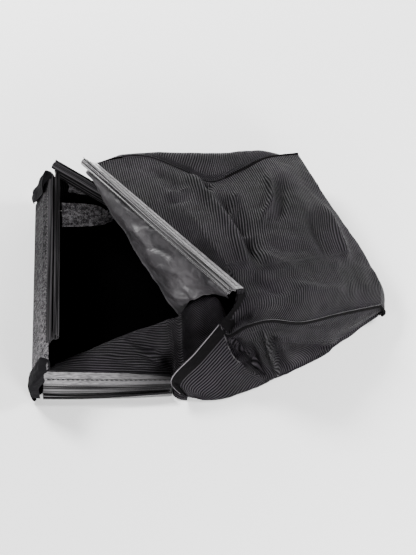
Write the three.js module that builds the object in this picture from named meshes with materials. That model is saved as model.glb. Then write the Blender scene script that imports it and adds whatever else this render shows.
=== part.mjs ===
// Grass collection bag of a walk-behind mower, off its wire frame and lying empty on the ground.
// A pebbled vinyl base turns up at the front into the left side of the mouth. Mesh cloth makes the
// top and the two sides. Four plastic channels, sewn to the mouth, are what snaps over the wire frame.
// Millimetres, +X from the mouth to the closed rear, +Y from the near side to the far side, +Z up.
// The origin is on the ground, under the centre of the bag's box.
import * as THREE from 'three';

// Overall sizes of the bag as it lies
const bagLength = 605;
const mouthWidth = 440;
const crownHeight = 170;
const wallHeight = 78;

// Cloth, vinyl, thread and the clearance between pieces that touch
const meshThickness = 1.6;
const vinylThickness = 2;
const liningThickness = 1.2;
const tapeThickness = 1.2;
const tapeWidth = 20;
const clearance = 0.3;
const bindingRadius = 2;
const threadSize = 0.9;
const stitchPitch = 8.2;
const stitchWidth = 2.6;

// Plastic channel: a forked sewing flange, a web, and a split barrel with a lip
const channelWall = 1.4;
const flangeDepth = 22;
const outerFlangeInset = 16;
const stitchInset = 15;
const webLength = 9;
const barrelBore = 11;
const barrelGapAngle = 56;
const lipLength = 6.5;
const slotClearance = 0.6;
const leftChannelLength = 375;
const nearChannelLength = 212;
const farChannelLength = 205;
const topChannelLength = 380;

const rad = THREE.MathUtils.degToRad;
const vec = (x, y, z) => new THREE.Vector3(x, y, z);

// The shape was laid out on a bag of these sizes; at() carries a laid-out place to the sizes above
const laidOut = { length: 605, width: 440, height: 170, foot: -300 };
const at = ([x, y, z]) => vec(
  laidOut.foot + (x - laidOut.foot) * (bagLength / laidOut.length),
  y * (mouthWidth / laidOut.width),
  z * (crownHeight / laidOut.height),
);

const materials = {
  mesh: new THREE.MeshStandardMaterial({ color: 0x1c1a1d, roughness: 0.75, metalness: 0 }),
  vinyl: new THREE.MeshStandardMaterial({ color: 0x3a383b, roughness: 0.55, metalness: 0 }),
  satin: new THREE.MeshStandardMaterial({ color: 0x3d3b40, roughness: 0.45, metalness: 0 }),
  plastic: new THREE.MeshStandardMaterial({ color: 0x201d20, roughness: 0.22, metalness: 0 }),
  tape: new THREE.MeshStandardMaterial({ color: 0x121213, roughness: 0.7, metalness: 0 }),
  thread: new THREE.MeshStandardMaterial({ color: 0x0c0c0d, roughness: 0.8, metalness: 0 }),
};

// Uniform Catmull-Rom curve through points, s from 0 to 1, with the end knots mirrored
function splinePoint(points, s) {
  const last = points.length - 1;
  const place = Math.min(Math.max(s, 0), 1) * last;
  const k = Math.min(Math.floor(place), last - 1);
  const f = place - k;
  const p1 = points[k];
  const p2 = points[k + 1];
  const p0 = k > 0 ? points[k - 1] : p1.clone().multiplyScalar(2).sub(p2);
  const p3 = k + 2 <= last ? points[k + 2] : p2.clone().multiplyScalar(2).sub(p1);
  const w = [
    -0.5 * f ** 3 + f ** 2 - 0.5 * f,
    1.5 * f ** 3 - 2.5 * f ** 2 + 1,
    -1.5 * f ** 3 + 2 * f ** 2 + 0.5 * f,
    0.5 * f ** 3 - 0.5 * f ** 2,
  ];
  return vec(0, 0, 0).addScaledVector(p0, w[0]).addScaledVector(p1, w[1])
    .addScaledVector(p2, w[2]).addScaledVector(p3, w[3]);
}

// A curve object: at(s) for s in 0..1
const spline = (points) => ({ at: (s) => splinePoint(points, s) });

// The stretch of a polyline between two distances from its ends, in count equal steps
function stretch(points, fromStart, fromEnd, count) {
  const along = [0];
  for (let i = 1; i < points.length; i += 1) {
    along.push(along[i - 1] + points[i].distanceTo(points[i - 1]));
  }
  const total = along[along.length - 1];
  const result = [];
  for (let j = 0; j <= count; j += 1) {
    const want = fromStart + ((total - fromStart - fromEnd) * j) / count;
    let k = 1;
    while (k < along.length - 1 && along[k] < want) k += 1;
    const f = (want - along[k - 1]) / Math.max(along[k] - along[k - 1], 1e-9);
    result.push(points[k - 1].clone().lerp(points[k], f));
  }
  return result;
}

// Normals of a grid of points, rows by columns
function gridNormals(grid) {
  const pick = (i, j) => grid[Math.min(Math.max(i, 0), grid.length - 1)][
    Math.min(Math.max(j, 0), grid[0].length - 1)];
  return grid.map((row, i) => row.map((_, j) => {
    const down = pick(i + 1, j).clone().sub(pick(i - 1, j));
    const across = pick(i, j + 1).clone().sub(pick(i, j - 1));
    return down.cross(across).normalize();
  }));
}

// A closed sheet: the grid of points given a thickness along its normals
function sheet(grid, thickness, normals = gridNormals(grid), lift = 0) {
  const rows = grid.length;
  const columns = grid[0].length;
  const places = [];
  for (const side of [0.5, -0.5]) {
    grid.forEach((row, i) => row.forEach((point, j) => {
      const p = point.clone().addScaledVector(normals[i][j], lift + side * thickness);
      places.push(p.x, p.y, p.z);
    }));
  }
  const index = (side, i, j) => side * rows * columns + i * columns + j;
  const faces = [];
  const quad = (a, b, c, d) => faces.push(a, b, c, a, c, d);
  for (let i = 0; i < rows - 1; i += 1) {
    for (let j = 0; j < columns - 1; j += 1) {
      quad(index(0, i, j), index(0, i + 1, j), index(0, i + 1, j + 1), index(0, i, j + 1));
      quad(index(1, i, j), index(1, i, j + 1), index(1, i + 1, j + 1), index(1, i + 1, j));
    }
  }
  for (let j = 0; j < columns - 1; j += 1) {
    quad(index(0, 0, j), index(0, 0, j + 1), index(1, 0, j + 1), index(1, 0, j));
    const end = rows - 1;
    quad(index(0, end, j + 1), index(0, end, j), index(1, end, j), index(1, end, j + 1));
  }
  for (let i = 0; i < rows - 1; i += 1) {
    quad(index(0, i + 1, 0), index(0, i, 0), index(1, i, 0), index(1, i + 1, 0));
    const end = columns - 1;
    quad(index(0, i, end), index(0, i + 1, end), index(1, i + 1, end), index(1, i, end));
  }
  const geometry = new THREE.BufferGeometry();
  geometry.setAttribute('position', new THREE.Float32BufferAttribute(places, 3));
  geometry.setIndex(faces);
  return geometry;
}

// A closed tube with a many-sided section along points
function tube(points, radius, sides = 6) {
  const places = [];
  const faces = [];
  const last = points.length - 1;
  let side = null;
  points.forEach((point, i) => {
    const ahead = points[Math.min(i + 1, last)].clone().sub(points[Math.max(i - 1, 0)]).normalize();
    if (side === null) {
      side = Math.abs(ahead.z) < 0.9 ? vec(0, 0, 1) : vec(1, 0, 0);
    }
    side = side.clone().addScaledVector(ahead, -side.dot(ahead)).normalize();
    const other = ahead.clone().cross(side);
    for (let k = 0; k < sides; k += 1) {
      const angle = (2 * Math.PI * (k + 0.5)) / sides;
      const p = point.clone().addScaledVector(side, radius * Math.cos(angle))
        .addScaledVector(other, radius * Math.sin(angle));
      places.push(p.x, p.y, p.z);
    }
  });
  for (let i = 0; i < last; i += 1) {
    for (let k = 0; k < sides; k += 1) {
      const n = (k + 1) % sides;
      const a = i * sides + k;
      const b = i * sides + n;
      faces.push(a, b, b + sides, a, b + sides, a + sides);
    }
  }
  for (let k = 1; k < sides - 1; k += 1) {
    faces.push(0, k + 1, k);
    faces.push(last * sides, last * sides + k, last * sides + k + 1);
  }
  const geometry = new THREE.BufferGeometry();
  geometry.setAttribute('position', new THREE.Float32BufferAttribute(places, 3));
  geometry.setIndex(faces);
  return geometry;
}

// Where a channel lies: its sewn edge from start to end, the way across it to the lip, and its face.
// A channel of soft plastic may twist about its sewn edge, by the angle given over its length.
function channelFrame(start, end, towardLip, twist = 0) {
  const along = end.clone().sub(start).normalize();
  const level = towardLip.clone().addScaledVector(along, -towardLip.dot(along)).normalize();
  const length = start.distanceTo(end);
  const acrossAt = (at) => level.clone().applyAxisAngle(along, rad((twist * at) / length));
  const faceAt = (at) => along.clone().cross(acrossAt(at));
  return {
    start, along, length, twist, acrossAt, faceAt,
    place: (at, depth, lift) => start.clone().addScaledVector(along, at)
      .addScaledVector(acrossAt(at), depth).addScaledVector(faceAt(at), lift),
  };
}

const slotHalf = (cloth) => cloth / 2 + slotClearance;
const slotDepth = flangeDepth - 1.5;
const hemInSlot = slotDepth - 0.8;
const barrelCentre = { across: flangeDepth + webLength + barrelBore / 2 + channelWall, lift: -0.5 };

// Section of a channel, x across it from the sewn edge to the lip, y out of its face. The outer
// flange starts at outerEdge: where the cloth lies over the outside, only its last strip is covered.
function channelSection(cloth, outerEdge) {
  const slot = slotHalf(cloth);
  const flange = slot + channelWall;
  const inner = barrelBore / 2;
  const outer = inner + channelWall;
  const gap = rad(barrelGapAngle / 2);
  const up = Math.PI / 2;
  const { across, lift } = barrelCentre;
  const shape = new THREE.Shape();
  shape.moveTo(outerEdge, slot);
  shape.lineTo(outerEdge, flange);
  shape.lineTo(flangeDepth, flange);
  shape.lineTo(flangeDepth + 1.5, flange - 0.9);
  shape.lineTo(flangeDepth + webLength - 3, flange - 0.9);
  shape.lineTo(flangeDepth + webLength - 1, flange + 0.5);
  shape.absarc(across, lift, outer, up + rad(58), up + gap, true);
  shape.absarc(across, lift, inner, up + gap, up - gap + 2 * Math.PI, false);
  const foot = [across + inner * Math.sin(gap), lift + inner * Math.cos(gap)];
  const tip = [foot[0] + lipLength * 0.85, foot[1] + lipLength * 0.5];
  shape.lineTo(tip[0], tip[1]);
  shape.lineTo(tip[0] + channelWall * 0.5, tip[1] - channelWall * 0.86);
  shape.absarc(across, lift, outer, up - gap - rad(12), up + rad(100) - 2 * Math.PI, true);
  shape.lineTo(flangeDepth + 2, -flange + 1.2);
  shape.lineTo(flangeDepth - 1, -flange);
  shape.lineTo(4, -flange);
  shape.lineTo(4, -slot);
  shape.lineTo(slotDepth, -slot);
  shape.lineTo(slotDepth, slot);
  shape.closePath();
  return shape.extractPoints(7).shape;
}

// A channel: its section lofted along the frame, in steps of a few degrees where it twists
const channelStations = (twist) => Math.max(Math.ceil(Math.abs(twist) / 3), 1);
function channelMesh(name, frame, cloth, outerEdge = 0) {
  const section = channelSection(cloth, outerEdge);
  if (section[0].distanceTo(section[section.length - 1]) < 1e-6) {
    section.pop();
  }
  if (THREE.ShapeUtils.area(section) < 0) {
    section.reverse();
  }
  const stations = channelStations(frame.twist);
  const sides = section.length;
  const places = [];
  for (let k = 0; k <= stations; k += 1) {
    for (const point of section) {
      places.push(...frame.place((frame.length * k) / stations, point.x, point.y).toArray());
    }
  }
  const faces = [];
  for (let k = 0; k < stations; k += 1) {
    for (let i = 0; i < sides; i += 1) {
      const a = k * sides + i;
      const b = k * sides + ((i + 1) % sides);
      faces.push(a, b, b + sides, a, b + sides, a + sides);
    }
  }
  const last = stations * sides;
  for (const [a, b, c] of THREE.ShapeUtils.triangulateShape(section, [])) {
    faces.push(a, c, b, last + a, last + b, last + c);
  }
  const geometry = new THREE.BufferGeometry();
  geometry.setAttribute('position', new THREE.Float32BufferAttribute(places, 3));
  geometry.setIndex(faces);
  return named(name, geometry, materials.plastic);
}

// The zigzag thread of a channel, on its outer flange or on the cloth that covers it
function stitchingMesh(name, frame, under) {
  const lift = under + clearance * 1.6 + threadSize / 2;
  const count = Math.floor((frame.length - stitchPitch) / stitchPitch);
  const start = (frame.length - count * stitchPitch) / 2;
  const points = [];
  for (let k = 0; k <= 2 * count; k += 1) {
    const side = k % 2 === 0 ? -0.5 : 0.5;
    const depth = stitchInset - 2 + side * stitchWidth;
    points.push(frame.place(start + (k * stitchPitch) / 2, depth, lift));
  }
  return named(name, tube(points, threadSize / 2, 4), materials.thread);
}

function named(name, geometry, material) {
  const flat = geometry.clone();
  flat.deleteAttribute('normal');
  flat.deleteAttribute('uv');
  const mesh = new THREE.Mesh(flat, material);
  mesh.name = name;
  return mesh;
}

// Left wall: it splays a little towards the far side, and its channel leans inwards on its rim
const wallLean = 39;
const wallSplay = 30;
const wallPoint = (x, y, z) => at([x - (wallSplay * y) / laidOut.width, y, 0]).setZ(z);
const wallRimX = -274;
const leftFrame = channelFrame(
  wallPoint(wallRimX, 430, wallHeight), wallPoint(wallRimX, 430 - leftChannelLength, wallHeight),
  vec(Math.sin(rad(wallLean)), 0, Math.cos(rad(wallLean))),
);

// Near channel: flat on the ground at its right end, it twists up to meet the near corner
const nearTwist = -45;
const nearLeft = at([-277, 37, 0]).setZ(37);
const nearRight = nearLeft.clone().add(vec(nearChannelLength, 15, -31));
const nearFrame = channelFrame(nearRight, nearLeft, vec(0, -1, 0.08), nearTwist);

// Far channel, which leans into the mouth from its far left corner
const farLeft = at([-281, 447, 0]).setZ(88);
const farWay = vec(0.82, -0.56, -0.08).normalize();
const farFrame = channelFrame(
  farLeft.clone().addScaledVector(farWay, farChannelLength), farLeft, vec(0.12, -0.3, 0.95),
);

// Top channel, along the front of the top panel, its lip raised, and less so at the far end
const topLip = 36;
const topTwist = 9;
const topNear = at([58, 122, 152]);
const topWay = at([-207, 408, 166]).sub(topNear).normalize();
const topLevel = vec(-0.73, -0.68, 0).multiplyScalar(Math.cos(rad(topLip)));
const topFrame = channelFrame(
  topNear, topNear.clone().addScaledVector(topWay, topChannelLength),
  topLevel.setZ(Math.sin(rad(topLip))), topTwist,
);

// Seams, each one curve that two panels share. The top seams start at the ends of the mouth's hem.
const nearCorner = at([18, 86, 104]);
const farCorner = topFrame.place(topFrame.length + 9, 3, 0);
const seams = {
  nearTop: [nearCorner, ...[
    [34, 66, 98], [64, 55, 137], [103, 60, 146], [156, 78, 117], [225, 126, 80], [302, 174, 43],
  ].map(at)],
  farTop: [farCorner, ...[
    [-120, 432, 155], [-50, 415, 138], [2, 398, 122], [60, 430, 120], [107, 465, 118], [168, 500, 95],
  ].map(at)],
  nearBase: [
    [-264, 62], [-200, 98], [-130, 126], [-72, 142], [-58, 144], [-42, 145], [-24, 142], [2, 130],
    [34, 106], [62, 86], [88, 76], [118, 84], [166, 110], [218, 149], [287, 203],
  ].map(([x, y]) => at([x, y, 0]).setZ(bindingRadius)),
  farBase: [
    [-284, 436], [-200, 438], [-130, 444], [-80, 450], [-30, 456], [40, 464], [110, 480], [162, 494],
  ].map(([x, y]) => at([x, y, 0]).setZ(bindingRadius)),
  nearRear: [[302, 174, 43], [311, 174, 24], [304, 180, 3]].map(at),
  farRear: [[168, 500, 95], [173, 507, 50], [168, 503, 3]].map(at),
};
const seamGap = bindingRadius + 1.3;

// Where the sections of the standing panels, the top and the seams between them are taken
const outsideShares = Array.from({ length: 15 }, (_, k) => 0.07 + (0.93 * k) / 14);
const rearShares = [0.34, 0.56, 0.78];

// How far a panel's edge stops short of a seam, on a row that leaves the seam towards a place
function clearOf(seam, s, towards) {
  const tangent = splinePoint(seam, s + 0.01).sub(splinePoint(seam, s - 0.01)).normalize();
  const away = towards.clone().sub(splinePoint(seam, s)).normalize();
  return seamGap / Math.max(away.cross(tangent).length(), 0.5);
}

// Rows of points between two seams, through guide curves. Each guide is the row's next point.
function rowsThrough(guides, samples, count) {
  return samples.map((s) => {
    const fine = spline(guides.map((guide) => guide(s)));
    const line = Array.from({ length: 60 }, (_, k) => fine.at(k / 59));
    const topShare = (s * farStations - farKnots.corner) / (farStations - farKnots.corner);
    const rim = topShare > 0 ? clearOf(seams.farTop, topShare, line[54]) : 0;
    return stretch(line, clearOf(seams.farBase, s, line[6]), rim, count);
  });
}

const steps = (from, to, count) => Array.from(
  { length: count + 1 }, (_, k) => from + ((to - from) * k) / count,
);
const guideThrough = (points) => {
  const curve = spline(points);
  return (s) => curve.at(s);
};

// Moves a grid's first or last row towards its neighbour, to stand back from a seam
function standBack(grid, which, distance) {
  const edge = which === 'first' ? 0 : grid.length - 1;
  const next = which === 'first' ? 1 : grid.length - 2;
  grid[edge] = grid[edge].map((p, j) => {
    const way = grid[next][j].clone().sub(p);
    return p.clone().addScaledVector(way.normalize(), distance);
  });
  return grid;
}

// Near side panel. Its front lies open on the ground as far as the near channel, over a low hump.
// Past the channel it folds back over itself, and stands up as the outside of the bag.
// One row of places for each station along the mouth, from inside the bag out to the fold:
// crest of the inner layer, its slope, its foot, the fold, the outer layer's start and its rise.
const nearHem = [[-57, 9, 4], [-36, 3, 3], [-63, 12, 47], [-22, 48, 77]].map(at);
const nearStations = { channelEnd: 3, corner: 8, last: 14 };
const nearInner = {
  crest: [
    [-262, 56, 30], [-200, 80, 43], [-130, 106, 54], [-72, 122, 62], [-60, 124, 66], [-46, 127, 74],
    [-32, 129, 88], [-12, 128, 104], [14, 116, 104], [50, 90, 36],
  ],
  slope: [
    [-262, 50, 34], [-200, 60, 42], [-130, 74, 49], [-66, 78, 50], [-56, 76, 48], [-44, 72, 45],
    [-24, 70, 44], [6, 66, 38], [50, 64, 18], [80, 62, 9],
  ],
};
const nearFold = [[-57, 24, 15], [-37, 10, 6], [-6, 4, 4.5], [38, 9, 4.5], [98, 37, 4.5], [104, 41, 4.5],
  [115, 47, 4.5], [133, 56, 4.5], [184, 86, 4.5], [238, 127, 4.5], [307, 186, 4.5]].map(at);
const nearRise = [[-57, 14, 8], [-36.5, 6, 4.2], [-36, 9, 28], [4, 29, 44], [56, 42, 60], [72, 60, 52],
  [84, 50, 76], [114, 53, 82], [166, 77, 62], [229, 121, 45], [309, 179, 26]].map(at);
const foldFlat = 1.3;
const foldRound = 10;

const nearLength = (k) => (nearFrame.length + 5) * (1 - k / nearStations.channelEnd) - 3;

function nearRim(k) {
  if (k <= nearStations.channelEnd) {
    return nearFrame.place(nearLength(k), -1.5, 0);
  }
  if (k < nearStations.corner) {
    const hem = [nearFrame.place(-3, hemInSlot, 0), ...nearHem, nearCorner];
    return splinePoint(hem, (k - nearStations.channelEnd) / (hem.length - 1));
  }
  return splinePoint(seams.nearTop, (k - nearStations.corner) / (seams.nearTop.length - 1));
}

// The places of one whole station of the near panel, from the base seam to the rim
function nearStation(k) {
  const seam = seams.nearBase[k];
  const rim = nearRim(k);
  if (k <= nearStations.channelEnd) {
    const slope = at(nearInner.slope[k]);
    const between = (t) => slope.clone().lerp(rim, t);
    return [seam, at(nearInner.crest[k]), slope, between(0.45), between(0.65), between(0.73),
      between(0.85), rim];
  }
  const fold = nearFold[k - 4];
  const rise = nearRise[k - 4];
  if (k < 6) {
    const slope = at(nearInner.slope[k]);
    const foot = slope.clone().lerp(fold, 0.8);
    return [seam, at(nearInner.crest[k]), slope, foot, fold, fold.clone().lerp(rise, 0.3), rise, rim];
  }
  const inward = seam.clone().sub(fold).setZ(0).normalize();
  const foot = fold.clone().addScaledVector(inward, foldRound).setZ(foldFlat);
  const start = fold.clone().addScaledVector(inward, foldRound * 0.35).setZ(10);
  const onGround = (t) => seam.clone().lerp(foot, t).setZ(foldFlat);
  const inner = k < nearInner.crest.length
    ? [at(nearInner.crest[k]), at(nearInner.slope[k])] : [onGround(0.35), onGround(0.7)];
  return [seam, ...inner, foot, fold, start, rise, rim];
}

// Columns: the inner layer in equal steps, the fold and the outer layer's start, then the outer layer
function nearRow(guides, k) {
  const s = k / nearStations.last;
  const knots = guides.map((points, g) => (
    g === guides.length - 1 ? nearRim(k) : splinePoint(points, s)));
  const line = (from, to, count, trimA, trimB) => {
    const part = steps(from, to, 40).map((t) => splinePoint(knots, t));
    return stretch(part, trimA, trimB, count);
  };
  const share = (g) => g / (knots.length - 1);
  const inner = line(0, share(3), 8, clearOf(seams.nearBase, s, knots[1]), 0);
  const outer = (count, trim) => line(share(5), 1, count, 0, trim);
  if (k <= nearStations.channelEnd) {
    const edge = knots[knots.length - 1];
    const into = (depth) => edge.clone().addScaledVector(nearFrame.acrossAt(nearLength(k)), depth + 1.5);
    return [...inner, knots[4], ...outer(3, 0), into(1), into(hemInSlot)];
  }
  const topShare = (k - nearStations.corner) / (nearStations.last - nearStations.corner);
  const trim = topShare > 0 ? clearOf(seams.nearTop, topShare, knots[6]) : 0;
  const row = [...inner, knots[4], ...outer(5, trim)];
  return row.map((p) => p.setZ(Math.max(p.z, foldFlat)));
}

// Sections of the near panel: ends and twisting stations of the channel, the fold, the outside
const inNearChannel = steps(1, 0, channelStations(nearTwist)).map((share) => (
  nearStations.channelEnd * (1 - (nearFrame.length * share + 3) / (nearFrame.length + 5))));
const nearSections = [
  0, ...inNearChannel, nearStations.channelEnd,
  ...steps(nearStations.channelEnd + 0.4, nearStations.corner, 12),
  ...outsideShares.map((s) => nearStations.corner + s * (nearStations.last - nearStations.corner)),
];

function nearPanelGrid() {
  const stations = steps(0, nearStations.last, nearStations.last).map(nearStation);
  const guides = stations[0].map((_, g) => stations.map((station) => station[g]));
  const rows = nearSections.map((k) => nearRow(guides, k));
  return standBack(rows, 'last', seamGap * 1.5);
}

// Far side panel, which stands along the back and leans into the mouth at the far channel
const farStations = 9;
const farKnots = { channelEnd: 2, corner: 5 };
const farGuideRows = {
  foot: [
    [-294, 444, 9], [-175, 456, 12], [-95, 470, 14], [-82, 472, 16], [-72, 474, 18], [-60, 476, 20],
    [-18, 480, 22], [42, 486, 22], [112, 500, 22], [168, 506, 14],
  ],
  middle: [
    [-288, 446, 48], [-172, 440, 54], [-90, 424, 58], [-90, 448, 72], [-98, 464, 92], [-108, 468, 108],
    [-50, 478, 100], [22, 486, 90], [106, 504, 70], [171, 509, 45],
  ],
  crest: [
    [-279, 443, 80], [-172, 412, 76], [-87, 372, 72], [-104, 412, 98], [-134, 438, 122],
    [-165, 440, 146], [-92, 448, 148], [10, 456, 136], [98, 482, 119], [170, 501, 80],
  ],
};

function farRim(s) {
  const k = s * farStations;
  if (k <= farKnots.channelEnd) {
    const share = k / farKnots.channelEnd;
    return farFrame.place((farChannelLength + 2) * (1 - share) - 5 * share, -1.5, 0);
  }
  const end = farFrame.place(-5, hemInSlot, 0);
  if (k <= farKnots.corner) {
    const hem = [end, at([-122, 372, 114]), at([-172, 406, 137]), farCorner];
    return splinePoint(hem, (k - farKnots.channelEnd) / 3);
  }
  return splinePoint(seams.farTop, (k - farKnots.corner) / (farStations - farKnots.corner));
}

function farPanelGrid() {
  const guides = [
    guideThrough(seams.farBase),
    ...Object.values(farGuideRows).map((row) => guideThrough(row.map(at))),
    farRim,
  ];
  const knot = (k) => k / farStations;
  const inChannel = steps(0, knot(farKnots.channelEnd), 10);
  const leaning = rowsThrough(guides, inChannel, 10).map((row) => {
    const edge = row[row.length - 1];
    const into = (depth) => edge.clone().addScaledVector(farFrame.acrossAt(0), depth + 1.5);
    return [...row, into(1), into(hemInSlot)];
  });
  const hem = rowsThrough(guides, steps(knot(2.5), knot(farKnots.corner) - 0.02, 6), 12);
  const standing = rowsThrough(guides, outsideShares.map((s) => (
    knot(farKnots.corner) + s * (1 - knot(farKnots.corner)))), 12);
  return standBack([...leaning, ...hem, ...standing], 'last', seamGap);
}

// Top panel, from the top channel and its near hem back to the rear, and down the rear to the ground
const topGuideRows = [
  [[-60, 372, 152], [0, 285, 164], [34, 215, 166], [76, 140, 154], [72, 92, 142]],
  [[26, 350, 146], [62, 278, 154], [90, 210, 156], [116, 145, 152], [112, 95, 150]],
  [[92, 385, 136], [114, 320, 142], [140, 245, 142], [164, 170, 138], [160, 115, 138]],
  [[140, 422, 124], [164, 350, 126], [192, 275, 120], [220, 205, 110], [228, 158, 98]],
  [[190, 442, 96], [218, 382, 91], [253, 318, 81], [289, 252, 64], [305, 212, 53]],
];
const rearGuideRows = [
  [[196, 448, 50], [227, 388, 48], [262, 322, 43], [297, 255, 34], [313, 214, 28]],
  [[192, 446, 2.6], [222, 386, 2.6], [256, 320, 2.6], [291, 253, 2.6], [305, 214, 2.6]],
];

function topPanelGrid() {
  const farPart = 12;
  const nearPart = 7;
  const clipShare = 4 / 6;
  const halves = (points, trimFar, trimNear) => {
    const line = steps(0, 1, 90).map((t) => splinePoint(points, t));
    const cut = Math.round(90 * clipShare);
    const far = stretch(line.slice(0, cut + 1), trimFar, 0, farPart);
    return [...far, ...stretch(line.slice(cut), 0, trimNear, nearPart).slice(1)];
  };
  const rim = (depth) => {
    const straight = steps(0, 1, farPart).map((t) => topFrame.place(
      (topFrame.length + 3) * (1 - t) - 3 * t, depth, 0));
    const alongSeam = at([34, 66, 98]).sub(nearCorner).normalize();
    const inward = (t) => topFrame.acrossAt(0).negate().lerp(alongSeam, t).normalize()
      .multiplyScalar(hemInSlot - depth);
    const hem = [
      topFrame.place(-3, hemInSlot, 0),
      topFrame.place(-3, hemInSlot, 0).lerp(nearCorner, 0.5).add(at([8, -4, 6])),
      nearCorner.clone(),
    ];
    const free = steps(0, 1, nearPart).slice(1).map((t) => splinePoint(hem, t * 0.98).add(inward(t)));
    return [...straight, ...free];
  };
  const stations = topGuideRows.length;
  const guides = topGuideRows[0].map((_, g) => topGuideRows.map((row) => at(row[g])));
  const body = outsideShares.map((s) => {
    const along = (s * stations - 1) / (stations - 1);
    const inner = guides.map((points) => splineBefore(points, along));
    return halves(
      [splinePoint(seams.farTop, s), ...inner, splinePoint(seams.nearTop, s)],
      clearOf(seams.farTop, s, inner[0]), clearOf(seams.nearTop, s, inner[inner.length - 1]),
    );
  });
  const rear = [...rearShares, 1].map((s) => {
    const inner = rearGuideRows[0].map((_, g) => splinePoint(
      [at(topGuideRows[stations - 1][g]), at(rearGuideRows[0][g]), at(rearGuideRows[1][g])], s));
    return halves([splinePoint(seams.farRear, s), ...inner, splinePoint(seams.nearRear, s)],
      seamGap, seamGap);
  });
  return standBack([rim(hemInSlot), rim(1), rim(-1.5), ...body, ...rear], 'last', seamGap * 0.6);
}

// A spline that runs on straight before its first point
function splineBefore(points, s) {
  if (s >= 0) {
    return splinePoint(points, s);
  }
  const ahead = splinePoint(points, 0.02).sub(points[0]).multiplyScalar(1 / 0.02);
  return points[0].clone().addScaledVector(ahead, s);
}

// Base panel: the slot's strip, the left wall, a rolled foot, then flat on the ground to the rear
function basePanelGrid() {
  const count = 6;
  const floor = vinylThickness / 2;
  const straight = (near, far) => steps(0, 1, count).map((t) => near.clone().lerp(far, t));
  const wallRow = (x, z) => straight(wallPoint(x, 1, z), wallPoint(x, 438, z));
  const rimRow = (depth) => straight(
    leftFrame.place(-6, depth, 0), leftFrame.place(mouthWidth - 9, depth, 0),
  ).reverse();
  const nearSeam = guideThrough(seams.nearBase);
  const farSeam = guideThrough(seams.farBase);
  const flat = nearSections.filter((k) => k > 0.25).map((k) => {
    const s = k / nearStations.last;
    const [near, far] = [nearSeam(s), farSeam(s)];
    const line = straight(near.clone().setZ(floor), far.clone().setZ(floor));
    return stretch(line, clearOf(seams.nearBase, s, far), clearOf(seams.farBase, s, near), count);
  });
  const rows = [
    rimRow(hemInSlot), rimRow(1), rimRow(-1.5),
    wallRow(-286, wallHeight * 0.58), wallRow(-295, wallHeight * 0.28), wallRow(-297, 9),
    wallRow(-292, 2.4),
    straight(wallPoint(-279, 20, floor), wallPoint(-272, 436, floor)),
    ...flat,
  ];
  return standBack(rows, 'last', seamGap);
}

// A gathered pouch of satin cloth, wrapped from the wall's outer face round one of its ends. Each
// height is a line of four places: on the wall's face, two round the bulge, and its inner end.
const gussetBulge = 8;
const gussetSeat = 0.45;
const nearGussetHeight = 84;
const farGussetHeight = 108;
const wallOutline = (y, z) => {
  const down = Math.max(1 - z / wallHeight, 0);
  return wallPoint(wallRimX, y, 0).x - 2.4 - 26 * (1 - (1 - down) ** 1.6);
};
function gussetGrid(places, side, height, startAt, innerEnd) {
  return steps(6, height, 8).map((z) => {
    const belly = gussetBulge * Math.sin((Math.PI * (z + 6)) / (height + 16));
    const start = startAt(z / height);
    const line = [
      vec(wallOutline(start, z) + gussetSeat, start, z),
      vec(wallOutline(places[0], z) - 1 - 0.7 * belly, places[0], z),
      vec(wallOutline(places[1], z) - 0.5 * belly, places[1] + side * 0.7 * belly, z),
      innerEnd(z),
    ];
    return steps(0, 1, 8).map((t) => splinePoint(line, t));
  });
}
const nearGussetEnd = (z) => vec(nearLeft.x - 5 + 13 * THREE.MathUtils.smoothstep(z, 42, 70), -4, z);
const farGussetEnd = (z) => vec(farLeft.x - 0.1 * z, farLeft.y + 15, z);

// Lining: fixed along the underside of the top channel, it billows down into the mouth
const liningEdge = [
  [-206, 388, 148], [-183, 335, 138], [-135, 260, 114], [-92, 196, 86], [-48, 142, 56],
  [-30, 158, 88], [5, 150, 105], [40, 122, 128],
];
function liningGrid() {
  const under = -(slotHalf(meshThickness) + channelWall + clearance + liningThickness / 2);
  const edge = liningEdge.map(at);
  return steps(0.02, 0.98, 16).map((t) => {
    const length = topFrame.length * (1 - t);
    const held = topFrame.place(length, 6, under);
    const lip = topFrame.place(length, flangeDepth - 3, under);
    const low = splinePoint(edge, t);
    const belly = Math.sin(Math.PI * t) * 12;
    const hang = topFrame.place(length, flangeDepth + 4, -barrelBore - 5);
    const middle = hang.clone().lerp(low, 0.5).add(vec(-0.4 * belly, -0.3 * belly, 0.7 * belly));
    const line = steps(0, 1, 40).map((s) => splinePoint([lip, hang, middle, low], s));
    return [held, ...stretch(line, 0, 0, 9)];
  });
}

// A fold of the base's vinyl inside the far corner of the mouth: lower edge, then upper edge
const innerFoldEdges = [
  [[-270, 397, 0], [-240, 398, 0], [-205, 401, 0], [-180, 412, 0]],
  [[-270, 427, 38], [-240, 427, 36], [-205, 426, 29], [-180, 424, 7]],
];
function innerFoldGrid() {
  const [low, high] = innerFoldEdges.map((edge) => edge.map(at));
  const rest = vinylThickness * 1.5 + clearance;
  return steps(0, 1, 8).map((s) => {
    const a = splinePoint(low, s).setZ(rest);
    const b = splinePoint(high, s);
    const foot = a.clone().lerp(b, 0.4).setZ(rest + 0.12 * b.z);
    return steps(0, 1, 5).map((t) => splinePoint([a, foot, b.setZ(Math.max(b.z, rest + 1))], t));
  });
}

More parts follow.
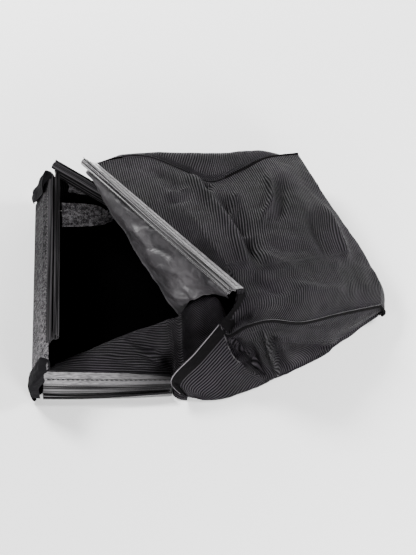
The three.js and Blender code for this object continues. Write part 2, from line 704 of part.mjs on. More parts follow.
// A band sewn beside a panel's own surface: parts of some rows, between distances from the base seam
const bandGap = 0.8;
const patchGap = 2.2;
function bandGrid(grid, fromRow, toRow, span, side, cloth, thickness, gap = bandGap) {
  const normals = gridNormals(grid);
  const lift = side * ((cloth + thickness) / 2 + gap);
  const rows = [];
  for (let i = fromRow; i <= toRow; i += 1) {
    const row = grid[i].map((p, j) => p.clone().addScaledVector(normals[i][j], lift));
    const length = row.reduce((sum, p, j) => sum + (j ? p.distanceTo(row[j - 1]) : 0), 0);
    const [from, to] = span(length, (i - fromRow) / (toRow - fromRow));
    rows.push(stretch(row, from, length - to, 3));
  }
  return rows;
}
const hemSpan = (length) => [length - tapeWidth, length - 0.5];
const cornerSpan = (length, share) => [50 + 8 * share, 82 - 17 * share];

const bag = new THREE.Group();
const add = (name, geometry, material) => bag.add(named(name, geometry, material));

const nearGrid = nearPanelGrid();
const farGrid = farPanelGrid();
const topGrid = topPanelGrid();
add('base_panel', sheet(basePanelGrid(), vinylThickness), materials.vinyl);
add('near_side_panel', sheet(nearGrid, meshThickness), materials.mesh);
add('far_side_panel', sheet(farGrid, meshThickness), materials.mesh);
add('top_panel', sheet(topGrid, meshThickness), materials.mesh);
const nearGusset = gussetGrid([20, 0], -1, nearGussetHeight, () => 38, nearGussetEnd);
const farGusset = gussetGrid([437, 443], 1, farGussetHeight, (share) => 434 - 28 * share, farGussetEnd);
add('near_corner_gusset', sheet(nearGusset, meshThickness), materials.satin);
add('far_corner_gusset', sheet(farGusset, meshThickness), materials.satin);
add('lining', sheet(liningGrid(), liningThickness), materials.satin);
add('inner_vinyl_fold', sheet(innerFoldGrid(), vinylThickness), materials.vinyl);
const band = (grid, from, to, span, side, thickness, gap) => sheet(
  bandGrid(grid, from, to, span, side, meshThickness, thickness, gap), thickness,
);
add('inner_corner_patch', band(farGrid, 1, 4, cornerSpan, 1, vinylThickness, patchGap), materials.vinyl);
const hemTurn = nearSections.findIndex((k) => k > 6);
add('near_hem_tape', band(nearGrid, hemTurn, hemTurn + 4, hemSpan, 1, tapeThickness), materials.tape);
add('far_hem_tape', band(farGrid, 11, 16, hemSpan, -1, tapeThickness), materials.tape);

bag.add(channelMesh('left_channel', leftFrame, vinylThickness, outerFlangeInset));
bag.add(channelMesh('near_channel', nearFrame, meshThickness));
bag.add(channelMesh('far_channel', farFrame, meshThickness));
bag.add(channelMesh('top_channel', topFrame, meshThickness));
const onFlange = slotHalf(meshThickness) + channelWall;
bag.add(stitchingMesh('left_channel_stitching', leftFrame, vinylThickness / 2));
bag.add(stitchingMesh('near_channel_stitching', nearFrame, onFlange));
bag.add(stitchingMesh('far_channel_stitching', farFrame, onFlange));
bag.add(stitchingMesh('top_channel_stitching', topFrame, onFlange));

// Seam bindings, whose knots fall where the panels' sections are taken
const seamLine = (points, shares) => shares.map((s) => splinePoint(points, s));
const topShares = [0.1, ...outsideShares.slice(1)];
const bindings = {
  near_top_seam_binding: [...seamLine(seams.nearTop, topShares), ...seamLine(seams.nearRear, rearShares)],
  far_top_seam_binding: [...seamLine(seams.farTop, topShares), ...seamLine(seams.farRear, rearShares)],
  near_base_seam_binding: seamLine(
    seams.nearBase, nearSections.filter((k) => k > 0.25).map((k) => k / nearStations.last),
  ),
  far_base_seam_binding: seamLine(seams.farBase, steps(0.03, 0.98, 30)),
  rear_seam_binding: seamLine([
    at([168, 503, 0]), ...rearGuideRows[1].map(at), at([304, 180, 0]),
  ].map((p) => p.setZ(bindingRadius)), steps(0.05, 0.96, 14)),
};
for (const [name, line] of Object.entries(bindings)) {
  add(name, tube(line, bindingRadius), materials.tape);
}

// Set the whole bag so that its box stands on the ground, centred on the origin
const box = new THREE.Box3().setFromObject(bag, true);
bag.position.set(-(box.min.x + box.max.x) / 2, -(box.min.y + box.max.y) / 2, -box.min.z);
export default bag;
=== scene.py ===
"""Looks of an empty mower grass collection bag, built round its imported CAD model.

The bag lies on the ground, its mouth at the left of the camera's picture. Every panel is a finer
mesh of the same sheet that the CAD model has, with the folds, ribs and creases of the real cloth.
Sizes are millimetres in the part's own layout until a mesh is made, and metres after that.
"""

from __future__ import annotations

import logging
import math
from dataclasses import dataclass, field
from enum import Enum
from typing import Callable

import bpy
import numpy as np
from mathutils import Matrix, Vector, noise

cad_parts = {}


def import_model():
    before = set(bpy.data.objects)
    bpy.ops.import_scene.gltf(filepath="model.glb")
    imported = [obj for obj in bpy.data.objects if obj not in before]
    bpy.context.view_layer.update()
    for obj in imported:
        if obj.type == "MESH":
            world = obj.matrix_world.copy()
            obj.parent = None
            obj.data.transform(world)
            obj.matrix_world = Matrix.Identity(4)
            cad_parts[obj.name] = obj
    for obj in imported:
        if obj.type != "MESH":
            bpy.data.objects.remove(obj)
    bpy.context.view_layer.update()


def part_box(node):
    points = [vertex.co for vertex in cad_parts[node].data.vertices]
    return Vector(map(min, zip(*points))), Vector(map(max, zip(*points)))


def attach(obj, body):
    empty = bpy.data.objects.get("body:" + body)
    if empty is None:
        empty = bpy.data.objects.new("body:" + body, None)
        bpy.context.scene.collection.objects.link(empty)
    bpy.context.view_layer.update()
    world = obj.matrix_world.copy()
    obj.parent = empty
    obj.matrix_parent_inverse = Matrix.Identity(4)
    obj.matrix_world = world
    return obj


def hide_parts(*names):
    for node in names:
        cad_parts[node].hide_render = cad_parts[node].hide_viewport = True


Array = np.ndarray
LOG = logging.getLogger("bag")
MM = 0.001
UP_ANGLE = math.pi / 2


class Slot(Enum):
    """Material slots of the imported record."""

    MESH = "mesh_cloth"
    VINYL = "vinyl"
    SATIN = "satin"
    PLASTIC = "channel_plastic"
    TAPE = "tape"
    THREAD = "thread"


@dataclass(frozen=True)
class BagSizes:
    """Real sizes of the bag in millimetres, as in the part's source."""

    wall_height: float = 78.0
    mesh: float = 1.6
    vinyl: float = 2.0
    lining: float = 1.2
    tape: float = 1.2
    tape_width: float = 20.0
    clearance: float = 0.3
    binding_radius: float = 2.0
    thread: float = 0.9
    stitch_pitch: float = 8.2
    stitch_width: float = 2.6
    channel_wall: float = 1.4
    flange_depth: float = 22.0
    outer_flange_inset: float = 16.0
    stitch_inset: float = 15.0
    web_length: float = 9.0
    barrel_bore: float = 11.0
    barrel_gap_angle: float = 56.0
    lip_length: float = 6.5
    slot_clearance: float = 0.6
    rim_outside: float = 1.5

    @property
    def slot_depth(self) -> float:
        """Depth of the slot that takes the cloth's edge."""
        return self.flange_depth - 1.5

    @property
    def hem_in_slot(self) -> float:
        """How far the cloth's edge goes into the slot."""
        return self.slot_depth - 0.8

    @property
    def seam_gap(self) -> float:
        """How far a panel's edge stays from the middle of a seam's binding."""
        return self.binding_radius + 1.3

    def slot_half(self, cloth: float) -> float:
        """Half the width of the slot for a cloth of this thickness."""
        return cloth / 2 + self.slot_clearance


SIZES = BagSizes()


def vec(*values: float) -> Array:
    """A point or direction as a float array."""
    return np.array(values, float)


def unit(v: Array) -> Array:
    """The direction of v, or of each row of v."""
    return v / np.maximum(norm(v)[..., None], 1e-12)


def norm(v: Array) -> Array:
    """Length of v, or of each row of v."""
    return np.linalg.norm(v, axis=-1)


def run(points: Array) -> Array:
    """Distance along a line of points from its start to each of them."""
    return np.concatenate([[0], np.cumsum(norm(np.diff(points, axis=0)))])


def smoothstep(x: Array, low: float, high: float) -> Array:
    """0 below low, 1 above high, smooth between."""
    t = np.clip((np.asarray(x, float) - low) / (high - low), 0, 1)
    return t * t * (3 - 2 * t)


def spline(points: Array, s: float | Array) -> Array:
    """Uniform Catmull-Rom curve with mirrored end knots.

    Args:
        points: Knots along the first axis, of any shape behind it.
        s: Place or places along the curve, 0 to 1.

    Returns:
        The points at s, with s's own axis in front if s is an array.
    """
    points = np.asarray(points, float)
    place = np.clip(np.asarray(s, float), 0, 1) * (len(points) - 1)
    single = place.ndim == 0
    place = np.atleast_1d(place)
    k = np.minimum(place.astype(int), len(points) - 2)
    f = (place - k).reshape((-1,) + (1,) * (points.ndim - 1))
    first = 2 * points[:1] - points[1:2]
    last = 2 * points[-1:] - points[-2:-1]
    padded = np.concatenate([first, points, last])
    p0, p1, p2, p3 = (padded[k + i] for i in range(4))
    result = (
        p0 * (-0.5 * f**3 + f**2 - 0.5 * f)
        + p1 * (1.5 * f**3 - 2.5 * f**2 + 1)
        + p2 * (-1.5 * f**3 + 2 * f**2 + 0.5 * f)
        + p3 * (0.5 * f**3 - 0.5 * f**2)
    )
    return result[0] if single else result


def stretch(points: Array, from_start: float, from_end: float, count: int) -> Array:
    """The part of a polyline between distances from its two ends, in count equal steps."""
    along = run(points)
    want = np.linspace(from_start, along[-1] - from_end, count + 1)
    return np.stack([np.interp(want, along, points[:, a]) for a in range(3)], axis=1)


@dataclass
class ChannelFrame:
    """Where a channel lies: its sewn edge from start to end, its lip's side and its face.

    A channel of soft plastic may twist about its sewn edge, by twist degrees over its length.
    """

    start: Array
    end: Array
    toward_lip: Array
    twist: float = 0.0
    along: Array = field(init=False)
    level: Array = field(init=False)
    length: float = field(init=False)

    def __post_init__(self) -> None:
        self.along = unit(self.end - self.start)
        self.level = unit(self.toward_lip - self.along * (self.toward_lip @ self.along))
        self.length = float(norm(self.end - self.start))

    def across(self, at: float | Array) -> Array:
        """Direction from the sewn edge to the lip, at a distance along the channel."""
        angle = np.radians(self.twist * np.asarray(at, float)[..., None] / self.length)
        return self.level * np.cos(angle) + np.cross(self.along, self.level) * np.sin(angle)

    def face(self, at: float | Array) -> Array:
        """Direction out of the channel's outer face."""
        return np.cross(self.along, self.across(at))

    def place(self, at: float | Array, depth: float | Array, lift: float) -> Array:
        """A point at a distance along, across and out of the channel."""
        at = np.asarray(at, float)
        depth = np.asarray(depth, float)[..., None]
        return (
            self.start + self.along * at[..., None] + self.across(at) * depth + self.face(at) * lift
        )


def lean(degrees: float) -> Array:
    """A direction in the XZ plane, leaning from upright towards +X."""
    return vec(math.sin(math.radians(degrees)), 0, math.cos(math.radians(degrees)))


class Layout:
    """Lines and places that several pieces share."""

    wall_splay = 30.0 / 440.0
    wall_rim_x = -274.0
    left = ChannelFrame(
        vec(wall_rim_x - 430 * wall_splay, 430, SIZES.wall_height),
        vec(wall_rim_x - 55 * wall_splay, 55, SIZES.wall_height),
        lean(39),
    )
    near_left = vec(-277, 37, 37)
    near = ChannelFrame(near_left + vec(212, 15, -31), near_left, vec(0, -1, 0.08), -45)
    far_left = vec(-281, 447, 88)
    far_length = 205.0
    far = ChannelFrame(
        far_left + unit(vec(0.82, -0.56, -0.08)) * far_length, far_left, vec(0.12, -0.3, 0.95)
    )
    top_near = vec(58, 122, 152)
    top_length = 380.0
    top_rise = math.radians(36)
    top = ChannelFrame(
        top_near,
        top_near + unit(vec(-207, 408, 166) - top_near) * top_length,
        vec(-0.73 * math.cos(top_rise), -0.68 * math.cos(top_rise), math.sin(top_rise)),
        9,
    )
    near_corner = vec(18, 86, 104)
    far_corner = top.place(top_length + 9, 3, 0)
    near_top = np.array([
        near_corner, [34, 66, 98], [64, 55, 137], [103, 60, 146], [156, 78, 117], [225, 126, 80],
        [302, 174, 43],
    ])
    far_top = np.array([
        far_corner, [-120, 432, 155], [-50, 415, 138], [2, 398, 122], [60, 430, 120],
        [107, 465, 118], [168, 500, 95],
    ])
    near_base = np.array([
        [x, y, SIZES.binding_radius] for x, y in (
            (-264, 62), (-200, 98), (-130, 126), (-72, 142), (-58, 144), (-42, 145), (-24, 142),
            (2, 130), (34, 106), (62, 86), (88, 76), (118, 84), (166, 110), (218, 149), (287, 203),
        )
    ])
    far_base = np.array([
        [x, y, SIZES.binding_radius] for x, y in (
            (-284, 436), (-200, 438), (-130, 444), (-80, 450), (-30, 456), (40, 464), (110, 480),
            (162, 494),
        )
    ])
    near_rear = np.array([[302, 174, 43], [311, 174, 24], [304, 180, 3]], float)
    far_rear = np.array([[168, 500, 95], [173, 507, 50], [168, 503, 3]], float)

    @classmethod
    def wall(cls, x: float, y: float, z: float) -> Array:
        """A place on the splayed left wall."""
        return vec(x - cls.wall_splay * y, y, z)


def clear_of(seam: Array, s: float, towards: Array) -> float:
    """How far a row that leaves a seam towards a place must stop short of the seam's middle."""
    tangent = unit(spline(seam, s + 0.01) - spline(seam, s - 0.01))
    away = unit(towards - spline(seam, s))
    return SIZES.seam_gap / max(float(norm(np.cross(away, tangent))), 0.5)


def into_slot(rim: Array, across: Array, count: int) -> Array:
    """A panel's edge inside a channel's slot, from its rim just outside the slot."""
    depths = np.linspace(1, SIZES.hem_in_slot, count)[:, None]
    return rim + across * (depths + SIZES.rim_outside)


def stand_back(grid: Array, distance: float) -> Array:
    """Moves a grid's last row towards the row before, to stand back from a seam."""
    grid[-1] += unit(grid[-2] - grid[-1]) * distance
    return grid


def grid_normals(grid: Array) -> Array:
    """Normals of a grid of points, on the side that the CAD sheets call their first."""
    padded = np.pad(grid, ((1, 1), (1, 1), (0, 0)), mode="edge")
    down = padded[2:, 1:-1] - padded[:-2, 1:-1]
    across = padded[1:-1, 2:] - padded[1:-1, :-2]
    return unit(np.cross(down, across))


class PhotoView:
    """The photograph's camera, in the part's own layout, and the picture's pixel grid."""

    elevation = math.radians(50)
    lens = 85.0
    sensor = 36.0
    distance = 2290.0
    target = vec(0, 208, 80)
    width = 416.0
    height = 555.0
    back = vec(0, -math.cos(elevation), math.sin(elevation))
    right = vec(1, 0, 0)
    up = vec(0, math.sin(elevation), math.cos(elevation))

    @classmethod
    def project(cls, points: Array) -> Array:
        """Pixels of the photograph that points in the layout fall on."""
        seen = points - (cls.target + cls.back * cls.distance)
        depth = -(seen @ cls.back)
        scale = cls.lens / cls.sensor * cls.height / depth
        x = cls.width / 2 + (seen @ cls.right) * scale
        y = cls.height / 2 - (seen @ cls.up) * scale
        return np.stack([x, y], axis=-1)


PIXEL_MM = 1.75
STEP_REACH = 4.0
HIDDEN_COST = 100.0
SAME_POINT = 1e-4
BAND_COLUMNS = 14


@dataclass(frozen=True)
class Crease:
    """A fold of the cloth along a line of the photograph.

    Attributes:
        line: Pixels of the photograph that it runs through.
        width: Its half width in millimetres, as the camera sees it.
        height: How far it stands out of the cloth, or into it if negative, in millimetres.
        fade: Share of its length at each end over which it dies out.
        step: Whether the cloth also stays raised for a while on the line's left side.
    """

    line: tuple[tuple[float, float], ...]
    width: float
    height: float
    fade: float = 0.3
    step: bool = False

    def lift(self, pixels: Array) -> Array:
        """How far the cloth is lifted at each of these pixels."""
        line = np.array(self.line, float)
        if len(line) > 2:
            line = spline(line, np.linspace(0, 1, 6 * len(line)))
        along = run(line)
        best = np.full(pixels.shape[:-1], np.inf)
        place = np.zeros(pixels.shape[:-1])
        side = np.zeros(pixels.shape[:-1])
        for i, length in enumerate(np.diff(along)):
            way = (line[i + 1] - line[i]) / length
            rel = pixels - line[i]
            t = np.clip(rel @ way, 0, length)
            gap = rel - t[..., None] * way
            distance = norm(gap)
            closer = distance < best
            best = np.where(closer, distance, best)
            place = np.where(closer, (along[i] + t) / along[-1], place)
            cross = rel[..., 1] * way[0] - rel[..., 0] * way[1]
            side = np.where(closer, -np.sign(cross), side)
        ends = smoothstep(place, 0, self.fade) * smoothstep(1 - place, 0, self.fade)
        reach = best * PIXEL_MM / self.width
        profile = 1 / np.cosh(np.minimum(reach, 20)) ** 2
        if self.step:
            broad = np.exp(-((reach / STEP_REACH) ** 2))
            profile = np.where(side > 0, np.maximum(profile, broad), profile)
        return self.height * ends * profile


def rumple(grid: Array, size: float, height: float, seed: float) -> Array:
    """Soft uneven rumples: how far cloth stands out at each point, from noise of a given size."""
    flat = grid.reshape(-1, 3) / size
    offset = Vector((seed, 2.7 * seed, -1.3 * seed))
    values = [noise.fractal(Vector(p) + offset, 0.9, 2.1, 3) for p in flat.tolist()]
    return height * np.array(values).reshape(grid.shape[:2])


@dataclass(frozen=True)
class Drape:
    """How a sheet of cloth is rumpled and creased.

    Attributes:
        margins: Points over which it calms down towards its first row, last row, first column
            and last column, where it is sewn.
        rumples: Size, height and seed of each of its sets of rumples.
        creases: Folds, placed by the photograph's pixels, that stand out towards its camera.
    """

    margins: tuple[int, int, int, int]
    rumples: tuple[tuple[float, float, float], ...]
    creases: tuple[Crease, ...] = ()

    def hold(self, rows: int, columns: int) -> Array:
        """1 inside a grid, falling to 0 at its sewn edges."""
        i = np.arange(rows)[:, None]
        j = np.arange(columns)[None, :]
        hold = np.ones((rows, columns))
        for distance, reach in zip((i, rows - 1 - i, j, columns - 1 - j), self.margins):
            if reach > 0:
                hold = hold * smoothstep(distance, 0, reach)
        return hold

    def lay(self, grid: Array, lift: Array | float = 0.0) -> Array:
        """Moves a grid's points along its normals by rumples, creases and a further lift."""
        for size, height, seed in self.rumples:
            lift = lift + rumple(grid, size, height, seed)
        pixels = PhotoView.project(grid)
        normals = grid_normals(grid)
        facing = np.clip(4 * (normals @ PhotoView.back), -1, 1)
        for crease in self.creases:
            lift = lift + facing * crease.lift(pixels)
        return grid + normals * (lift * self.hold(*grid.shape[:2]))[..., None]


def trace(grid: Array, pixels: tuple[tuple[float, float], ...], lift: float) -> Array:
    """A line just over the side of a grid that faces the camera, along a line of the photograph."""
    seen = PhotoView.project(grid)
    hidden = grid_normals(grid) @ PhotoView.back < 0
    points = []
    for pixel in spline(np.array(pixels, float), np.linspace(0, 1, 40)):
        distance = norm(seen - pixel) + HIDDEN_COST * hidden
        nearest = np.unravel_index(np.argmin(distance), distance.shape)
        dx, dy = (pixel - seen[nearest]) * PIXEL_MM
        moved = PhotoView.right * dx - PhotoView.up * dy + PhotoView.back * lift
        points.append(grid[nearest] + moved)
    knots = np.array(points)[::4]
    return spline(knots, np.linspace(0, 1, 80))


def gathers(rows: int, columns: int, centre: tuple[float, float], count: float,
            height: float) -> Array:
    """Folds that fan out from one place of a sheet, given as shares of its rows and columns."""
    i = np.linspace(0, 1, rows)[:, None] - centre[0]
    j = np.linspace(0, 1, columns)[None, :] - centre[1]
    angle = np.arctan2(j, i)
    reach = smoothstep(np.hypot(i, j), 0.05, 0.5)
    return height * reach * np.sin(count * angle + 1.3 * np.sin(3 * angle))


# A UV shift that marks the side of a sheet inside the bag, where the materials paint shade.
SHADED_INSIDE_UV = 10.0
RIB_NORMAL = vec(0.979, 0.203, 0)
RIB_FINENESS = 1.15


class MeshMaker:
    """Makes Blender meshes of the bag's pieces and puts them on the frame's body."""

    def __init__(self, shift: Array, materials: dict[Slot, bpy.types.Material]) -> None:
        self.shift = shift
        self.materials = materials

    def make(self, name: str, slot: Slot, vertices: Array, faces: list, uv: Array,
             nodes: tuple[str, ...], sharp: float = 35.0) -> None:
        """Makes a smooth-shaded piece.

        Args:
            name: The piece's name.
            slot: Its material.
            vertices: Its points in the layout, in millimetres.
            faces: Lists of vertex numbers.
            uv: Two distances in millimetres for each vertex.
            nodes: CAD nodes that it stands for.
            sharp: Angle in degrees above which an edge stays sharp.
        """
        mesh = bpy.data.meshes.new(name)
        mesh.from_pydata(((vertices + self.shift) * MM).tolist(), [], faces)
        layer = mesh.uv_layers.new(name="UVMap")
        loops = np.zeros(len(mesh.loops), np.int32)
        mesh.loops.foreach_get("vertex_index", loops)
        layer.data.foreach_set("uv", (uv * MM)[loops].astype(np.float32).ravel())
        mesh.polygons.foreach_set("use_smooth", [True] * len(mesh.polygons))
        mesh.set_sharp_from_angle(angle=math.radians(sharp))
        mesh.validate()
        piece = add(name, mesh)
        mesh.materials.append(self.materials[slot])
        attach(piece, "root")
        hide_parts(*nodes)

    def sheet(self, name: str, slot: Slot, grid: Array, thickness: float,
              nodes: tuple[str, ...], ribs: Array | None = None,
              inside: int | None = None) -> None:
        """Makes a closed sheet of some thickness from a grid of points.

        Args:
            name: The piece's name.
            slot: Its material.
            grid: Its middle surface, rows by columns.
            thickness: Its thickness.
            nodes: CAD nodes that it stands for.
            ribs: Distances along and across the cloth's ribs, if not along the grid.
            inside: Which side is inside the bag, where shade is painted near black, 0 or 1, if
                either.
        """
        rows, columns = grid.shape[:2]
        normals = grid_normals(grid)
        sides = [grid + normals * (half * thickness) for half in (0.5, -0.5)]
        vertices = np.concatenate([side.reshape(-1, 3) for side in sides])
        uv = np.stack([(self.distances(grid) if ribs is None else ribs).reshape(-1, 2)] * 2)
        # The side inside the bag gets shifted UVs, so that its material paints it near black as
        # shade.
        if inside is not None:
            uv[inside, :, 0] += SHADED_INSIDE_UV / MM
        uv = uv.reshape(-1, 2)
        index = np.arange(rows * columns).reshape(rows, columns)
        back = index + rows * columns
        quads = [
            np.stack([index[:-1, :-1], index[1:, :-1], index[1:, 1:], index[:-1, 1:]], -1),
            np.stack([back[:-1, :-1], back[:-1, 1:], back[1:, 1:], back[1:, :-1]], -1),
        ]
        border = np.concatenate([index[0, :-1], index[:-1, -1], index[-1, :0:-1], index[:0:-1, 0]])
        ahead = np.roll(border, -1)
        edge = np.stack([border, ahead, ahead + rows * columns, border + rows * columns], -1)
        faces = np.concatenate([q.reshape(-1, 4) for q in quads] + [edge])
        self.make(name, slot, vertices, faces.tolist(), uv, nodes, sharp=60)

    @staticmethod
    def distances(grid: Array) -> Array:
        """Distances along a grid's columns and rows, which lay the cloth's ribs on it."""
        down = norm(np.diff(grid, axis=0))
        across = norm(np.diff(grid, axis=1))
        u = np.pad(np.cumsum(down, axis=0), ((1, 0), (0, 0)))
        v = np.pad(np.cumsum(across, axis=1), ((0, 0), (1, 0)))
        return np.stack([u.mean(axis=1, keepdims=True) + 0 * u, v], axis=-1)

    @staticmethod
    def straight_ribs(grid: Array) -> Array:
        """Distances along and across ribs that all run one way, as on cloth cut in one piece."""
        steps = np.diff(grid, axis=0)
        over = np.hypot(steps @ RIB_NORMAL, steps[..., 2]) * np.sign(steps @ RIB_NORMAL + 1e-9)
        across = (grid[:1] @ RIB_NORMAL) + np.pad(np.cumsum(over, axis=0), ((1, 0), (0, 0)))
        return np.stack([MeshMaker.distances(grid)[..., 1], RIB_FINENESS * across], axis=-1)

    def tube(self, name: str, slot: Slot, points: Array, radius: float,
             nodes: tuple[str, ...], sides: int = 10) -> None:
        """Makes a closed round tube along points."""
        padded = np.concatenate([points[:1], points, points[-1:]])
        ahead = unit(padded[2:] - padded[:-2])
        side = vec(0, 0, 1) if abs(ahead[0][2]) < 0.9 else vec(1, 0, 0)
        rings = []
        angles = 2 * math.pi * np.arange(sides) / sides
        for point, way in zip(points, ahead):
            side = unit(side - way * (side @ way))
            other = np.cross(way, side)
            ring = np.cos(angles)[:, None] * side + np.sin(angles)[:, None] * other
            rings.append(point + radius * ring)
        vertices = np.concatenate(rings)
        along = np.repeat(run(points), sides)
        around = np.tile(angles, len(points)) * radius
        faces = self.rings(len(points), sides)
        self.make(name, slot, vertices, faces, np.stack([along, around], -1), nodes)

    @staticmethod
    def rings(count: int, sides: int) -> list:
        """Faces that join rings of points into a closed body."""
        index = np.arange(count * sides).reshape(count, sides)
        ahead = np.roll(index, -1, axis=1)
        quads = np.stack([index[:-1], ahead[:-1], ahead[1:], index[1:]], -1).reshape(-1, 4)
        return [*quads.tolist(), index[0, ::-1].tolist(), index[-1].tolist()]


class Channel:
    """A plastic clip channel: a forked sewing flange, a web, and a split barrel with a lip.

    Attributes:
        arc_steps: Points of each arc of the section.
        stations: Sections along the channel.
        web_inset: How much lower the web's face is than the flange's.
        barrel_drop: Height of the barrel's middle over the cloth's middle.
        root_angle: Where the barrel's outer arc starts at the web, past its top.
        lip_root_angle: How far behind the gap the outer arc starts again, under the lip.
        back_angle: How far round from its top that arc ends, at the web's inner side.
        lip_way: Direction of the lip.
        lip_end: Direction across the lip's end.
        wave_turns: Slow and quick waves along the channel, in radians over its length.
        wave_fade: Distance from the slot over which the waves set in.
        stitch_row: Distance of the stitches from the sewn edge.
        stitch_points: Points of each stroke of the zigzag.
        stitch_sink: How far the thread sinks in at its corners.
    """

    arc_steps = 22
    stations = 72
    web_inset = 0.9
    barrel_drop = -0.5
    root_angle = math.radians(58)
    lip_root_angle = math.radians(12)
    back_angle = math.radians(260)
    lip_way = vec(0.85, 0.5)
    lip_end = vec(0.5, -0.86)
    wave_turns = (9.1, 21.0)
    wave_fade = 12.0
    stitch_row = SIZES.stitch_inset - 2
    stitch_points = 6
    stitch_sink = 0.3

    def __init__(self, name: str, frame: ChannelFrame, cloth: float, outer_edge: float = 0.0,
                 waviness: float = 0.25) -> None:
        self.name = name
        self.frame = frame
        self.cloth = cloth
        self.outer_edge = outer_edge
        self.waviness = waviness

    def section(self) -> Array:
        """Outline across the channel: x from the sewn edge to the lip, y out of its face."""
        slot = SIZES.slot_half(self.cloth)
        flange = slot + SIZES.channel_wall
        inner = SIZES.barrel_bore / 2
        outer = inner + SIZES.channel_wall
        gap = math.radians(SIZES.barrel_gap_angle / 2)
        depth = SIZES.flange_depth
        web = depth + SIZES.web_length
        centre = vec(web + outer, self.barrel_drop)

        def arc(radius: float, start: float, end: float) -> list[tuple[float, float]]:
            angles = np.linspace(start, end, self.arc_steps)
            return [tuple(centre + radius * vec(math.cos(a), math.sin(a))) for a in angles]

        foot = centre + inner * vec(math.sin(gap), math.cos(gap))
        tip = foot + SIZES.lip_length * self.lip_way
        outline = [
            (self.outer_edge, slot), (self.outer_edge + 0.2, flange - 0.25),
            (self.outer_edge + 0.5, flange), (depth, flange), (depth + 1.5, flange - self.web_inset),
            (web - 3, flange - self.web_inset), (web - 1, flange + 0.5),
            *arc(outer, UP_ANGLE + self.root_angle, UP_ANGLE + gap),
            *arc(inner, UP_ANGLE + gap, UP_ANGLE - gap + 2 * math.pi),
            tuple(tip), tuple(tip + SIZES.channel_wall * self.lip_end),
            *arc(outer, UP_ANGLE - gap - self.lip_root_angle, UP_ANGLE - self.back_angle),
            (depth + 2, -flange + 1.2), (depth - 1, -flange), (4, -flange), (4, -slot),
            (SIZES.slot_depth, -slot), (SIZES.slot_depth, slot),
        ]
        points = np.array(outline)
        return points[norm(points - np.roll(points, 1, axis=0)) > SAME_POINT]

    def build(self, maker: MeshMaker) -> None:
        """Lofts the section along the frame, with the slight waves of soft plastic."""
        section = self.section()
        frame = self.frame
        x, y = np.tile(section.T, self.stations)
        along = np.repeat(np.linspace(0, frame.length, self.stations), len(section))
        share = along / frame.length
        free = smoothstep(x, SIZES.slot_depth, SIZES.slot_depth + self.wave_fade)
        slow, quick = self.wave_turns
        wave = self.waviness * free * (np.sin(slow * share + 0.6) + 0.5 * np.sin(quick * share))
        vertices = (
            frame.start + frame.along * along[:, None]
            + frame.across(along) * x[:, None] + frame.face(along) * (y + wave)[:, None]
        )
        around = np.tile(run(section), self.stations) + self.outer_edge
        faces = maker.rings(self.stations, len(section))
        uv = np.stack([along, around], -1)
        name = f"{self.name}_plastic"
        maker.make(name, Slot.PLASTIC, vertices, faces, uv, (self.name,), sharp=28)

    def stitching(self, maker: MeshMaker, under: float) -> None:
        """The zigzag thread, on the outer flange or on the cloth that covers it."""
        lift = under + SIZES.clearance * 1.6 + SIZES.thread / 2
        pitch = SIZES.stitch_pitch
        count = int((self.frame.length - pitch) // pitch)
        knots = np.arange(2 * count + 1)
        at = (self.frame.length - count * pitch) / 2 + knots * pitch / 2
        depth = self.stitch_row + np.where(knots % 2 == 0, -0.5, 0.5) * SIZES.stitch_width
        corners = self.frame.place(at, depth, lift)[:, None]
        share = np.linspace(0, 1, self.stitch_points, endpoint=False)[:, None]
        strokes = corners[:-1] + (corners[1:] - corners[:-1]) * share
        sink = self.stitch_sink * (1 - np.sin(math.pi * share))
        points = (strokes - self.frame.face(at[:-1])[:, None] * sink).reshape(-1, 3)
        node = f"{self.name}_stitching"
        maker.tube(f"{self.name}_thread", Slot.THREAD, points, SIZES.thread / 2, (node,), sides=6)


